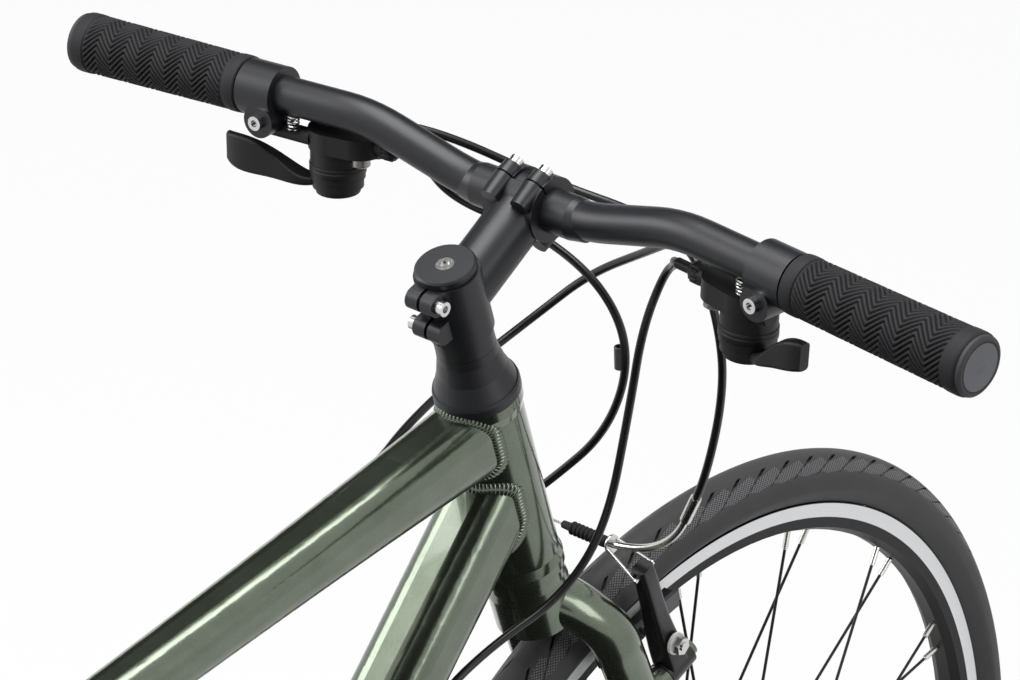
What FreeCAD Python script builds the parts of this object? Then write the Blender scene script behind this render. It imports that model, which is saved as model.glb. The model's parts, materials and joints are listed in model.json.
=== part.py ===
import FreeCAD, Part
import math
import os
from FreeCAD import Vector

# Frame layout, millimetres and degrees
WHEELBASE = 1076.0
CHAINSTAY_L = 440.0
BB_DROP = 65.0
SEAT_ANGLE = 73.5
SEAT_TUBE_L = 499.0
SEAT_TUBE_R = 17.45
HEAD_ANGLE = 71.5
HEAD_TUBE_L = 135.0
HEAD_TUBE_R = 23.5
TOP_STACK = 93.0
LOWER_STACK = 8.5
TOP_TUBE_DROP = 26.0
TOP_TUBE_SLOPE = 9.0
DOWN_TUBE_DROP = 67.0
TUBE_WALL = 2.0
BB_SHELL_W = 68.0
BB_SHELL_R = 20.5
REAR_SPACING = 135.0
STAY_TOP = 440.0

# Fork and headset
FORK_LENGTH = 397.0
FORK_RAKE = 49.0
FORK_SPACING = 100.0
BLADE_Y = 38.0
STEERER_R = 14.3
BEARING_R = 21.0
BEARING_H = 11.0

# Wheels
BEAD_R = 311.0
TYRE_W = 38.0
RIM_W = 24.0
SPOKES = 32
SPOKE_R = 1.0
AXLE_R = 5.0

# Cockpit
STEM_REACH = 71.4
STEM_RISE = 9.4
STEM_R = 16.5
BAR_HALF = 317.0
BAR_R = 11.1
CLAMP_R = 12.7
BAR_RISE = 20.3
BAR_BACK = 9.5
BAR_SWEEP = 0.10
BAR_FALL = 0.023
GRIP_IN = 197.0
GRIP_R = 16.4
LEVER_TILT = 30.0
CLAMP_Y = 184.0
HOUSING_R = 2.5
WIRE_R = 0.8

# Saddle
SADDLE_SETBACK = 0.0
SADDLE_TOP = 690.0
POST_R = 15.45

# Drive train
PITCH = 12.7
ROLLER_R = 3.85
RINGS = (48, 38, 28)
COGS = (11, 13, 15, 18, 21, 24, 28, 32)
RING_STEP = 7.5
COG_STEP = 4.8
CHAIN_Y = -47.5
CRANK_L = 170.0
JOCKEY_T = 11
JOCKEY_GAP = 55.0

# Rim brakes
POST_DROP = 27.0
ARM_L = 94.0
PAD_GAP = 2.4


def rad(a):
    return math.radians(a)


def unit(v):
    w = Vector(v)
    w.normalize()
    return w


WHEEL_R = BEAD_R + TYRE_W
REAR = Vector(-WHEELBASE / 2, 0, WHEEL_R)
FRONT = Vector(WHEELBASE / 2, 0, WHEEL_R)
BB = Vector(REAR.x + math.sqrt(CHAINSTAY_L ** 2 - BB_DROP ** 2), 0, WHEEL_R - BB_DROP)
Y = Vector(0, 1, 0)
UP = Vector(-math.cos(rad(HEAD_ANGLE)), 0, math.sin(rad(HEAD_ANGLE)))
AHEAD = Vector(UP.z, 0, -UP.x)
DOWN = UP * -1
HEAD_TOP = TOP_STACK
HEAD_BOT = HEAD_TOP + HEAD_TUBE_L
CROWN_T = HEAD_BOT + LOWER_STACK
CROWN_H = 32.0
AXLE_T = CROWN_T + FORK_LENGTH
CAP = FRONT + UP * AXLE_T - AHEAD * FORK_RAKE
SEAT_UP = Vector(-math.cos(rad(SEAT_ANGLE)), 0, math.sin(rad(SEAT_ANGLE)))
SEAT_BACK = Vector(-SEAT_UP.z, 0, SEAT_UP.x)


def steer(t, off=0.0, y=0.0):
    """A point t down the steerer from the top cap, off ahead of it, y to the left."""
    return CAP + DOWN * t + AHEAD * off + Y * y


def seat(t, y=0.0):
    """A point t up the seat tube from the bottom bracket."""
    return BB + SEAT_UP * t + Y * y


def meet(p, d, q, e):
    """Distance along d from p to where it crosses the line q, e in the mid plane."""
    den = d.x * e.z - d.z * e.x
    return ((q.x - p.x) * e.z - (q.z - p.z) * e.x) / den


TT_HEAD = steer(HEAD_TOP + TOP_TUBE_DROP)
TT_DIR = Vector(-math.cos(rad(TOP_TUBE_SLOPE)), 0, -math.sin(rad(TOP_TUBE_SLOPE)))
TT_L = meet(TT_HEAD, TT_DIR, BB, SEAT_UP)
TT_UP = Vector(TT_DIR.z, 0, -TT_DIR.x)
DT_HEAD = steer(HEAD_TOP + DOWN_TUBE_DROP)
DT_DIR = unit(BB - DT_HEAD)
DT_L = (BB - DT_HEAD).Length
DT_UP = Vector(DT_DIR.z, 0, -DT_DIR.x)
CS_DIR = unit(REAR - BB)
SS_TOP = seat(STAY_TOP)
SS_DIR = unit(SS_TOP - REAR)
SS_L = (SS_TOP - REAR).Length
SS_OUT = Vector(-SS_DIR.z, 0, SS_DIR.x)
DROP_Y = REAR_SPACING / 2 + 3.0
BLADE_TOP = steer(CROWN_T + 26.0, 20.0)
BLADE_DIR = unit(BLADE_TOP - FRONT)
BLADE_OUT = Vector(BLADE_DIR.z, 0, -BLADE_DIR.x)
POST_AT = BEAD_R - POST_DROP
BAR_C = steer(STEM_RISE, STEM_REACH)
FORK_END_Y = FORK_SPACING / 2 + 3.0


def stay_y(r):
    """Half spread of the seatstays at distance r from the rear axle."""
    return DROP_Y + (r - 28.0) / (SS_L - 28.0) * (17.5 - DROP_Y)


def blade_y(r):
    """Half spread of the fork blades at distance r from the front axle."""
    full = (BLADE_TOP - FRONT).Length - 44.0
    return FORK_END_Y + (r - 20.0) / (full - 20.0) * (BLADE_Y - FORK_END_Y)


def bar_out(side):
    return unit(Vector(-BAR_SWEEP, side, -BAR_FALL))


def bar_point(side, y):
    """A point on the straight outer part of the bar, y measured from the middle."""
    e = y - 129.0
    return BAR_C + Vector(-BAR_BACK - BAR_SWEEP * e, side * y, BAR_RISE - BAR_FALL * e)


def control(side, y, f, u):
    """A point at a bar control: y out from the middle, f ahead of the bar, u above it."""
    out = bar_out(side)
    ahead = unit(Vector(1, 0, 0) - out * out.x)
    up = ahead.cross(out) * side
    return bar_point(side, y) + ahead * f + up * u


def control_dirs(side):
    out = bar_out(side)
    ahead = unit(Vector(1, 0, 0) - out * out.x)
    return out, ahead, ahead.cross(out) * side


def lever(side, y, f, u):
    """As control, in the tilted plane in which the brake lever swings."""
    c = math.cos(rad(LEVER_TILT))
    s = math.sin(rad(LEVER_TILT))
    return control(side, y, f * c + u * s, -f * s + u * c)


def lever_dirs(side):
    out, ahead, up = control_dirs(side)
    c = math.cos(rad(LEVER_TILT))
    s = math.sin(rad(LEVER_TILT))
    return out, ahead * c - up * s, up * c + ahead * s


def under(side, y, f, u):
    """As control, for the shifter, which hangs lower on the right."""
    return control(side, y, f, u - POD_DROP[side])


LEVER_PIVOT = (160.0, 34.0)
THUMB_AT = (142.0, 10.0)
RELEASE_AT = (126.0, 27.0)
POD_SHIFT = {1: 0.0, -1: 14.0}
POD_DROP = {1: 0.0, -1: 5.0}
POD_TOP = -16.0
POD_MID = -28.0
POD_LOW = -47.0
FD_HINGE = seat(178.0, -30.0) + SEAT_BACK * -4.0


def pitch_r(teeth):
    return PITCH / 2 / math.sin(math.pi / teeth)


GUIDE = REAR + Vector(14, 0, -(pitch_r(COGS[3]) + 46.0))
HANGER = REAR + Vector(-8, 0, -27)


def tangent(c1, r1, s1, c2, r2, s2):
    """Tangent points between two wheels; s is the turning sense, 1 for anticlockwise in x, z."""
    d = c2 - c1
    length = d.Length
    base = math.atan2(d.z, d.x)
    k = (r1 * s1 - r2 * s2) / length
    a = base - math.pi / 2 + math.asin(max(-1.0, min(1.0, k)))
    n = Vector(math.cos(a), 0, math.sin(a))
    return c1 + n * (r1 * s1), c2 + n * (r2 * s2)


def chain_route(cage):
    """Wheels in chain order with centre, teeth and turning sense."""
    low = GUIDE + Vector(math.sin(cage), 0, -math.cos(cage)) * JOCKEY_GAP
    return [(BB, RINGS[1], -1), (low, JOCKEY_T, -1), (GUIDE, JOCKEY_T, 1), (REAR, COGS[3], -1)]


def chain_runs(cage):
    """Straight runs and wraps in pitch units along the chain."""
    wheels = chain_route(cage)
    n = len(wheels)
    ends = []
    for i in range(n):
        a = wheels[i]
        b = wheels[(i + 1) % n]
        ends.append(tangent(a[0], pitch_r(a[1]), a[2], b[0], pitch_r(b[1]), b[2]))
    runs = []
    for i in range(n):
        c, teeth, sense = wheels[i]
        p = ends[i - 1][1] - c
        q = ends[i][0] - c
        a0 = math.atan2(p.z, p.x)
        sweep = (math.atan2(q.z, q.x) - a0) * sense % (2 * math.pi)
        runs.append(("wrap", c, pitch_r(teeth), a0, sense, sweep, sweep * teeth / 2 / math.pi))
        runs.append(("run", ends[i][0], ends[i][1], 0, 0, 0, (ends[i][1] - ends[i][0]).Length / PITCH))
    return runs


def chain_fit():
    """Cage angle at which the chain holds a whole, even number of links."""
    lo = rad(-35.0)
    hi = rad(75.0)
    mid = rad(20.0)
    links = 2 * round(sum(r[6] for r in chain_runs(mid)) / 2)
    sign = sum(r[6] for r in chain_runs(hi)) - sum(r[6] for r in chain_runs(lo))
    for i in range(60):
        mid = (lo + hi) / 2
        total = sum(r[6] for r in chain_runs(mid))
        if (total - links) * sign > 0:
            hi = mid
        else:
            lo = mid
    return mid, links


CAGE_ANGLE, LINKS = chain_fit()
TENSION = chain_route(CAGE_ANGLE)[1][0]


def chain_pins():
    """Pin positions at whole pitches, with the angle at which each wheel meets its first pin."""
    runs = chain_runs(CAGE_ANGLE)
    pins = []
    phases = []
    s = 0.0
    k = 0
    for kind, a, b, a0, sense, sweep, length in runs:
        first = True
        while k < s + length - 1e-9 and k < LINKS:
            f = (k - s) / length
            if kind == "wrap":
                ang = a0 + sense * sweep * f
                pins.append(a + Vector(math.cos(ang), 0, math.sin(ang)) * b)
                if first:
                    phases.append(ang)
                first = False
            else:
                pins.append(a + (b - a) * f)
            k += 1
        s += length
    return pins, phases


PINS, PHASES = chain_pins()


def rod(a, b, r):
    d = b - a
    return Part.makeCylinder(r, d.Length, a, d)


def cone(a, b, r0, r1):
    d = b - a
    return Part.makeCone(r0, r1, d.Length, a, d)


def turned(points, origin, axis):
    """A solid of revolution from (radius, height) corners."""
    corners = [Vector(r, 0, h) for r, h in points]
    face = Part.Face(Part.makePolygon(corners + corners[:1]))
    solid = face.revolve(Vector(0, 0, 0), Vector(0, 0, 1), 360)
    solid.Placement = FreeCAD.Placement(origin, FreeCAD.Rotation(Vector(0, 0, 1), axis))
    return solid


def ring(origin, axis, r_out, r_in, h):
    return turned([(r_in, 0), (r_out, 0), (r_out, h), (r_in, h)], origin, axis)


def section(centre, x_dir, y_dir, w, h, r):
    """A round-cornered rectangle, w along x_dir and h along y_dir."""
    a = w / 2
    b = h / 2
    k = r * (1 - math.sqrt(0.5))

    def at(x, y):
        return centre + x_dir * x + y_dir * y

    sides = [((a - r, b), (-a + r, b)), ((-a, b - r), (-a, -b + r)),
             ((-a + r, -b), (a - r, -b)), ((a, -b + r), (a, b - r))]
    mids = [(-a + k, b - k), (-a + k, -b + k), (a - k, -b + k), (a - k, b - k)]
    edges = []
    for i in range(4):
        p, q = sides[i]
        edges.append(Part.LineSegment(at(*p), at(*q)).toShape())
        edges.append(Part.Arc(at(*q), at(*mids[i]), at(*sides[(i + 1) % 4][0])).toShape())
    return Part.Wire(edges)


def oval(centre, x_dir, y_dir, a, b):
    """An ellipse drawn with half size a along x_dir and b along y_dir."""
    big = a >= b
    curve = Part.Ellipse(centre + (x_dir if big else y_dir) * max(a, b),
                         centre + (y_dir if big else x_dir) * min(a, b), centre)
    return Part.Wire([curve.toShape()])


def loft(wires, ruled=False):
    return Part.makeLoft(wires, True, ruled)


def block(origin, x_dir, y_dir, x0, x1, y0, y1, z0, z1):
    """A box with its ranges along x_dir, y_dir and their cross product."""
    z_dir = x_dir.cross(y_dir)
    corners = [(x0, y0), (x1, y0), (x1, y1), (x0, y1), (x0, y0)]
    base = [origin + x_dir * x + y_dir * y + z_dir * z0 for x, y in corners]
    return Part.Face(Part.makePolygon(base)).extrude(z_dir * (z1 - z0))


def plate(points, y0, y1):
    """A flat plate with its outline in x, z and its faces at y0 and y1."""
    corners = [Vector(p.x, y0, p.z) for p in points]
    return Part.Face(Part.makePolygon(corners + corners[:1])).extrude(Y * (y1 - y0))


def arm_plate(a, b, ra, rb, y0, y1):
    """A plate that joins a round end at a to a round end at b."""
    d = unit(b - a)
    n = Vector(-d.z, 0, d.x)
    body = plate([a + n * ra, b + n * rb, b - n * rb, a - n * ra], y0, y1)
    for p, r in ((a, ra), (b, rb)):
        body = body.fuse(rod(Vector(p.x, y0, p.z), Vector(p.x, y1, p.z), r))
    return body.removeSplitter()


def bent(points, radius=None):
    """A path of straight runs joined by tangent arcs."""
    edges = []
    start = points[0]
    for i in range(1, len(points) - 1):
        d1 = unit(points[i] - points[i - 1])
        d2 = unit(points[i + 1] - points[i])
        half = math.acos(max(-1.0, min(1.0, d1.dot(d2)))) / 2
        if half < 0.01:
            continue
        reach = 0.47 * min((points[i] - points[i - 1]).Length, (points[i + 1] - points[i]).Length)
        r = reach / math.tan(half)
        if radius:
            r = min(r, radius)
        trim = r * math.tan(half)
        p = points[i] - d1 * trim
        q = points[i] + d2 * trim
        m = points[i] + unit(d2 - d1) * (r / math.cos(half) - r)
        edges.append(Part.LineSegment(start, p).toShape())
        edges.append(Part.Arc(p, m, q).toShape())
        start = q
    edges.append(Part.LineSegment(start, points[-1]).toShape())
    return Part.Wire(edges)


def swept(points, r, radius=None, bore=0.0):
    """A round rod or tube along a bent path."""
    path = bent(points, radius)
    d = points[1] - points[0]
    outer = path.makePipeShell([Part.Wire([Part.makeCircle(r, points[0], d)])], True, False)
    if bore:
        inner = path.makePipeShell([Part.Wire([Part.makeCircle(bore, points[0], d)])], True, False)
        outer = outer.cut(inner)
    return outer


def screw(at, d, head_r, head_h, shank_r, length):
    """A socket-head screw with its head outside at and its shank along d."""
    body = rod(at - d * head_h, at, head_r).fuse(rod(at, at + d * length, shank_r))
    key = rod(at - d * head_h, at - d * (head_h * 0.4), head_r * 0.5)
    return body.removeSplitter().cut(key), body


def hexagon(at, d, across, h, bore):
    """A hex nut with its base at at."""
    x = unit(d.cross(Vector(0.3, 0.2, 0.9)))
    z = d.cross(x)
    r = across / math.sqrt(3.0)
    pts = [at + x * (r * math.cos(k * math.pi / 3)) + z * (r * math.sin(k * math.pi / 3)) for k in range(7)]
    return Part.Face(Part.makePolygon(pts)).extrude(d * h).cut(rod(at - d, at + d * (h + 1), bore))


def both(fn):
    """The left and the right one of a piece."""
    return [fn(1), fn(-1)]


def head_core():
    r = HEAD_TUBE_R
    n = HEAD_TUBE_L
    rows = [(0, 0), (r + 1.5, 0), (r + 1.5, 6), (r, 12)]
    rows += [(r, n - 12), (r + 1.5, n - 6), (r + 1.5, n), (0, n)]
    return turned(rows, steer(HEAD_TOP), DOWN)


def head_tube():
    n = HEAD_TUBE_L
    rows = [(0, -1), (BEARING_R, -1), (BEARING_R, BEARING_H), (BEARING_R - 2.5, BEARING_H)]
    rows += [(BEARING_R - 2.5, n - BEARING_H), (BEARING_R, n - BEARING_H), (BEARING_R, n + 1), (0, n + 1)]
    bore = turned(rows, steer(HEAD_TOP), DOWN)
    return [head_core().cut(bore)]


def tube_loft(head, d, up, stations, wall):
    wires = [section(head + d * s, Y, up, w - 2 * wall, h - 2 * wall, c - wall) for s, w, h, c in stations]
    return loft(wires)


def top_stations():
    return [(0, 40, 46, 14), (130, 37, 36, 13), (300, 32, 31, 12), (TT_L, 30, 28, 12)]


def down_stations():
    return [(0, 43, 46, 15), (150, 44, 45, 16), (DT_L - 120, 44, 42, 16), (DT_L, 48, 34, 14)]


def top_core():
    return tube_loft(TT_HEAD, TT_DIR, TT_UP, top_stations(), 0.0)


def down_core():
    return tube_loft(DT_HEAD, DT_DIR, DT_UP, down_stations(), 0.0)


def seat_core():
    return rod(BB, seat(SEAT_TUBE_L), SEAT_TUBE_R)


def shell_core():
    return rod(BB - Y * (BB_SHELL_W / 2), BB + Y * (BB_SHELL_W / 2), BB_SHELL_R)


def bosses():
    """Bottle bosses: base point on the tube axis and the way out."""
    out = []
    for d in (250.0, 314.0):
        out.append((DT_HEAD + DT_DIR * d, DT_UP, 22.3))
    for d in (190.0, 254.0):
        out.append((seat(d), SEAT_BACK * -1, SEAT_TUBE_R))
    return out


def boss_plugs():
    return [rod(p + d * (s - 9.0), p + d * (s + 2.5), 5.0) for p, d, s in bosses()]


def top_tube():
    body = top_core().cut(tube_loft(TT_HEAD, TT_DIR, TT_UP, top_stations(), TUBE_WALL))
    return [body.cut(head_core()).cut(seat_core())]


def down_tube():
    body = down_core().cut(tube_loft(DT_HEAD, DT_DIR, DT_UP, down_stations(), TUBE_WALL))
    for tool in [head_core(), top_core(), seat_core(), shell_core()] + boss_plugs()[:2]:
        body = body.cut(tool)
    return [max(body.Solids, key=lambda s: s.Volume)]


def seat_tube():
    body = seat_core().cut(rod(BB, seat(SEAT_TUBE_L + 1), POST_R + 0.05)).cut(shell_core())
    for tool in boss_plugs()[2:]:
        body = body.cut(tool)
    return [body]


def bottom_bracket_shell():
    h = BB_SHELL_W
    return [ring(BB - Y * (h / 2), Y, BB_SHELL_R, 17.5, h)]


def chainstay(side):
    rows = [(8, 27, 12, 28, 5), (60, 29, 12, 26, 5), (130, 33, 13, 22, 5),
            (CHAINSTAY_L - 150, 52, 13, 18, 5), (CHAINSTAY_L - 30, DROP_Y, 11, 14, 4)]
    up = Vector(-CS_DIR.z, 0, CS_DIR.x) * -1
    wires = [section(BB + CS_DIR * d + Y * (side * y), Y, up, w, h, c) for d, y, w, h, c in rows]
    return loft(wires)


def chainstays():
    return [s.cut(shell_core()) for s in both(chainstay)]


def post_at(side, rear):
    """Root of a brake post on its stay or blade."""
    if rear:
        return REAR + SS_DIR * POST_AT + Y * (side * stay_y(POST_AT))
    return FRONT + BLADE_DIR * POST_AT + Y * (side * blade_y(POST_AT))


POST_F0 = 23.0
POST_LEN = 23.0


def brake_post(side, rear):
    root = post_at(side, rear)
    out = SS_OUT if rear else BLADE_OUT
    body = rod(root, root + out * POST_F0, 8.5)
    body = body.fuse(rod(root + out * POST_F0, root + out * (POST_F0 + POST_LEN), 4.0))
    return body.fuse(rod(root + out * (POST_F0 + POST_LEN), root + out * (POST_F0 + POST_LEN + 4), 6.5))


def seatstay(side):
    low = REAR + SS_DIR * 28.0 + Y * (side * DROP_Y)
    top = SS_TOP + Y * (side * 17.5)
    return cone(low, top, 7.0, 8.0)


def seatstays():
    stays = both(seatstay)
    out = []
    for side, stay in ((1, stays[0]), (-1, stays[1])):
        out.append(stay.cut(seat_core()).fuse(brake_post(side, True)).removeSplitter())
    r = WHEEL_R + 34.0
    bridge = rod(REAR + SS_DIR * r - Y * stay_y(r), REAR + SS_DIR * r + Y * stay_y(r), 6.0)
    for stay in stays:
        bridge = bridge.cut(stay)
    out.append(bridge.Solids[0])
    return out


EYELET = Vector(-19, 0, 9)
SLOT = unit(Vector(0.6, 0, -0.8))


def dropout(side):
    y0 = side * REAR_SPACING / 2
    y1 = side * (REAR_SPACING / 2 + 6)
    body = arm_plate(REAR, REAR - CS_DIR * 38.0, 15, 6, y0, y1)
    body = body.fuse(arm_plate(REAR, REAR + SS_DIR * 38.0, 15, 6, y0, y1))
    body = body.fuse(arm_plate(REAR, REAR + EYELET, 12, 6.5, y0, y1))
    if side < 0:
        body = body.fuse(arm_plate(REAR + Vector(-9, 0, -4), HANGER, 7, 9.5, y0, y1))
        body = body.cut(rod(HANGER + Y * (y0 + 9), HANGER + Y * (y1 - 9), 5.0))
    n = Vector(-SLOT.z, 0, SLOT.x)
    w = AXLE_R + 0.05
    mouth = [REAR + n * w, REAR + n * w + SLOT * 40, REAR - n * w + SLOT * 40, REAR - n * w]
    slot = plate(mouth, y0 - 9, y0 + 9)
    body = body.cut(slot).cut(rod(REAR + Y * (y0 - 9), REAR + Y * (y0 + 9), w))
    hole = REAR + EYELET
    body = body.cut(rod(hole + Y * (y0 - 9), hole + Y * (y0 + 9), 2.5))
    body = body.cut(chainstay(side)).cut(seatstay(side)).removeSplitter()
    return max(body.Solids, key=lambda s: s.Volume)


def rear_dropouts():
    return both(dropout)


# Cable stops: line of the cable, the way along it and the tube they stand on
def tt_side(d, gap):
    """Left side of the top tube at distance d from the head tube axis."""
    st = top_stations()
    w = st[-1][1]
    for a, b in zip(st, st[1:]):
        if a[0] <= d <= b[0]:
            w = a[1] + (b[1] - a[1]) * (d - a[0]) / (b[0] - a[0])
    return TT_HEAD + TT_DIR * d + Y * (w / 2 + gap)


STOP_GAP = 5.5
STOP_L = 12.0
B_FRONT = tt_side(95.0, STOP_GAP)
B_REAR = tt_side(TT_L - 95.0, STOP_GAP)
A_FRONT = DT_HEAD + DT_DIR * 145.0 - DT_UP * (22.5 + STOP_GAP) + Y * 10.0
C_FRONT = DT_HEAD + DT_DIR * 145.0 - DT_UP * (22.5 + STOP_GAP) - Y * 10.0
C_REAR = BB + CS_DIR * (CHAINSTAY_L - 125) + Vector(-CS_DIR.z, 0, CS_DIR.x) * 16.0 + Y * -56.0
GUIDE_A = BB + Vector(0, 10, -24.5)
GUIDE_C = BB + Vector(0, -10, -24.5)
C_RUN = unit(C_REAR - GUIDE_C + Vector(30, 0, 0))


def cable_stop(at, d, to):
    """A slotted ferrule seat on a foot that runs down to the tube."""
    seat_ring = ring(at, d, 4.0, 1.2, STOP_L).cut(rod(at - d, at + d * 5.0, HOUSING_R + 0.4))
    foot = block(at + d * (STOP_L / 2), d, unit(to.cross(d)), -5, 5, -2, 2, 0, 12.0)
    foot = foot.cut(rod(at - d, at + d * (STOP_L + 1), 3.0))
    return seat_ring.fuse(foot)


def frame_fittings():
    out = []
    for p, d, s in bosses():
        body = ring(p + d * (s - 9.0), d, 5.0, 2.1, 11.5)
        out.append(body)
    top = top_core()
    down = down_core()
    bd = unit(B_REAR - B_FRONT)
    out.append(cable_stop(B_FRONT, bd, Y * -1).cut(top))
    out.append(cable_stop(B_REAR, bd * -1, Y * -1).cut(top))
    out.append(cable_stop(A_FRONT, DT_DIR, DT_UP).cut(down))
    out.append(cable_stop(C_FRONT, DT_DIR, DT_UP).cut(down))
    stay = chainstay(-1)
    out.append(cable_stop(C_REAR, C_RUN * -1, Vector(CS_DIR.z, 0, -CS_DIR.x)).cut(stay))
    guide = block(BB, Vector(1, 0, 0), Y, -14, 14, -14, 14, -30.0, -BB_SHELL_R + 2.0).cut(shell_core())
    for s in (1, -1):
        g = Vector(0, s * 10, -24.5)
        guide = guide.cut(rod(BB + g - Vector(20, 0, 0), BB + g + Vector(20, 0, 0), 1.6))
    out.append(guide)
    return [max(s.Solids, key=lambda q: q.Volume) for s in out]


def bearing_cups():
    gap = STEERER_R + 0.05
    out = [ring(steer(HEAD_TOP), DOWN, BEARING_R, gap, BEARING_H - 0.5)]
    out.append(ring(steer(HEAD_BOT - BEARING_H + 0.5), DOWN, BEARING_R, gap, BEARING_H - 0.5))
    h = BB_SHELL_W / 2
    for side in (1, -1):
        out.append(turned([(8.55, 0), (17.5, 0), (17.5, 20), (21, 20), (21, 23), (8.55, 23)],
                          BB + Y * (side * (h - 20)), Y * side))
    return out


def seat_clamp():
    top = seat(SEAT_TUBE_L)
    base = seat(SEAT_TUBE_L - 15)
    rows = [(SEAT_TUBE_R, 0), (21.5, 0), (21.5, 17), (POST_R + 0.1, 17), (POST_R + 0.1, 15), (SEAT_TUBE_R, 15)]
    body = turned(rows, base, SEAT_UP)
    ear = block(base, Y, SEAT_BACK, -9, 9, 19.5, 32, 1, 14)
    body = body.fuse(ear).cut(block(base, Y, SEAT_BACK, -1, 1, 14, 40, -5, 25))
    at = base + SEAT_BACK * 26 + SEAT_UP * 7.5
    bolt = rod(at - Y * 11, at + Y * 9, 2.5).fuse(rod(at - Y * 14, at - Y * 9, 4.5))
    body = body.cut(rod(at - Y * 20, at + Y * 20, 2.5))
    return [body.removeSplitter(), bolt.removeSplitter()]


POST_HEAD = SADDLE_TOP - 62.0
RAIL_Y = 22.0
RAIL_R = 3.5


def rail_at(x, y, z):
    """A point on the saddle, from the clamp on the seatpost."""
    return seat(POST_HEAD) + Vector(x + SADDLE_SETBACK, y, z)


def rail(side):
    pts = [(112, 12, 34), (72, RAIL_Y, 0), (-48, RAIL_Y, 0), (-92, 34, 32)]
    return swept([rail_at(x, side * y, z) for x, y, z in pts], RAIL_R, 30.0)


def seatpost():
    body = rod(seat(SEAT_TUBE_L - 120), seat(POST_HEAD - 8), POST_R)
    body = body.fuse(rod(seat(POST_HEAD - 12, -26), seat(POST_HEAD - 12, 26), 12.5))
    body = body.cut(rod(seat(SEAT_TUBE_L - 121), seat(POST_HEAD - 26), POST_R - 2.3))
    for r in both(rail):
        body = body.cut(r)
    return [body.removeSplitter()]


def saddle_section(x, w, h, z0):
    a = rail_at(x, -w / 2, z0)
    b = rail_at(x, w / 2, z0)
    c = rail_at(x, w / 2, z0 + h * 0.45)
    d = rail_at(x, -w / 2, z0 + h * 0.45)
    edges = [Part.LineSegment(a, b).toShape(), Part.LineSegment(b, c).toShape()]
    edges.append(Part.Arc(c, rail_at(x, 0, z0 + h), d).toShape())
    edges.append(Part.LineSegment(d, a).toShape())
    return Part.Wire(edges)


SADDLE_ROWS = [(-128, 112, 22, 42), (-100, 158, 27, 40), (-55, 148, 29, 38), (0, 88, 26, 37),
               (60, 50, 25, 37), (115, 40, 24, 37), (148, 26, 18, 36)]


def saddle_cover():
    return [loft([saddle_section(x, w, h, z) for x, w, h, z in SADDLE_ROWS])]


def saddle_base():
    wires = []
    for x, w, h, z in SADDLE_ROWS:
        wires.append(section(rail_at(x * 0.985, 0, z - 2.5), Y, Vector(0, 0, 1), w - 6, 4.8, 2.0))
    shell = loft(wires).cut(saddle_cover()[0])
    rails = both(rail)
    for r in rails:
        shell = shell.cut(r)
    clamp = block(seat(POST_HEAD), Vector(1, 0, 0), Y, -22, 22, -27, 27, 0.8, 9)
    for r in rails:
        clamp = clamp.cut(r)
    clamp = clamp.cut(seatpost()[0])
    return [max(shell.Solids, key=lambda s: s.Volume), clamp] + rails


def axle(centre, spacing, plate_w):
    """A solid axle with its lock nuts, washers and outer nuts."""
    h = spacing / 2
    n = h + plate_w
    body = rod(centre - Y * (n + 14), centre + Y * (n + 14), AXLE_R)
    out = []
    for side in (1, -1):
        body = body.fuse(rod(centre + Y * (side * (h - 12)), centre + Y * (side * h), 8.0))
    out.append(body.removeSplitter())
    for side in (1, -1):
        out.append(ring(centre + Y * (side * n), Y * side, 10.0, AXLE_R, 1.6))
        out.append(hexagon(centre + Y * (side * (n + 1.6)), Y * side, 15.0, 9.0, AXLE_R))
    return out


def rear_axle():
    return axle(REAR, REAR_SPACING, 6.0)


def front_axle():
    return axle(FRONT, FORK_SPACING, 6.0)


def fork_steerer():
    return [ring(steer(5.0), DOWN, STEERER_R, STEERER_R - 2.6, CROWN_T + CROWN_H - 5.0)]


def crown_core():
    body = turned([(0, 0), (23.5, 0), (24.5, 6), (24, CROWN_H), (0, CROWN_H)], steer(CROWN_T), DOWN)
    return body.rotated(steer(0), UP, 40)


def fork_crown():
    body = crown_core().cut(rod(steer(CROWN_T - 1), steer(CROWN_T + CROWN_H + 1), STEERER_R))
    race = ring(steer(HEAD_BOT + 0.3), DOWN, 23.5, STEERER_R, LOWER_STACK - 0.3)
    eye = rod(steer(CROWN_T + 10, -40), steer(CROWN_T + 10, -4), 4.0)
    return [body.cut(eye), race]


def blade(side):
    full = (BLADE_TOP - FRONT).Length
    down = BLADE_DIR * -1
    root = steer(CROWN_T + 15, 4, side * 8)
    knee = FRONT + BLADE_DIR * (full - 44) + Y * (side * BLADE_Y)
    corner = knee + BLADE_DIR * 34.0
    rows = []
    for k in range(5):
        t = k / 4.0
        p = root * ((1 - t) ** 2) + corner * (2 * t * (1 - t)) + knee * (t * t)
        d = unit((corner - root) * (1 - t) + (knee - corner) * t)
        rows.append((p, d, 13.0 - t, 15.5))
    wires = []
    for p, d, a, b in rows:
        fore = unit(BLADE_OUT - d * BLADE_OUT.dot(d))
        wires.append(oval(p, unit(d.cross(fore)), fore, a, b))
    legs = []
    for r, a, b in ((full - 44, 12.0, 15.5), (full - 150, 11.5, 14.5), (140.0, 9.5, 11.5), (22.0, 7.5, 9)):
        middle = FRONT + BLADE_DIR * r + Y * (side * blade_y(r))
        legs.append(oval(middle, BLADE_OUT.cross(down), BLADE_OUT, a, b))
    return loft(wires).fuse(loft(legs, True)).removeSplitter()


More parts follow.
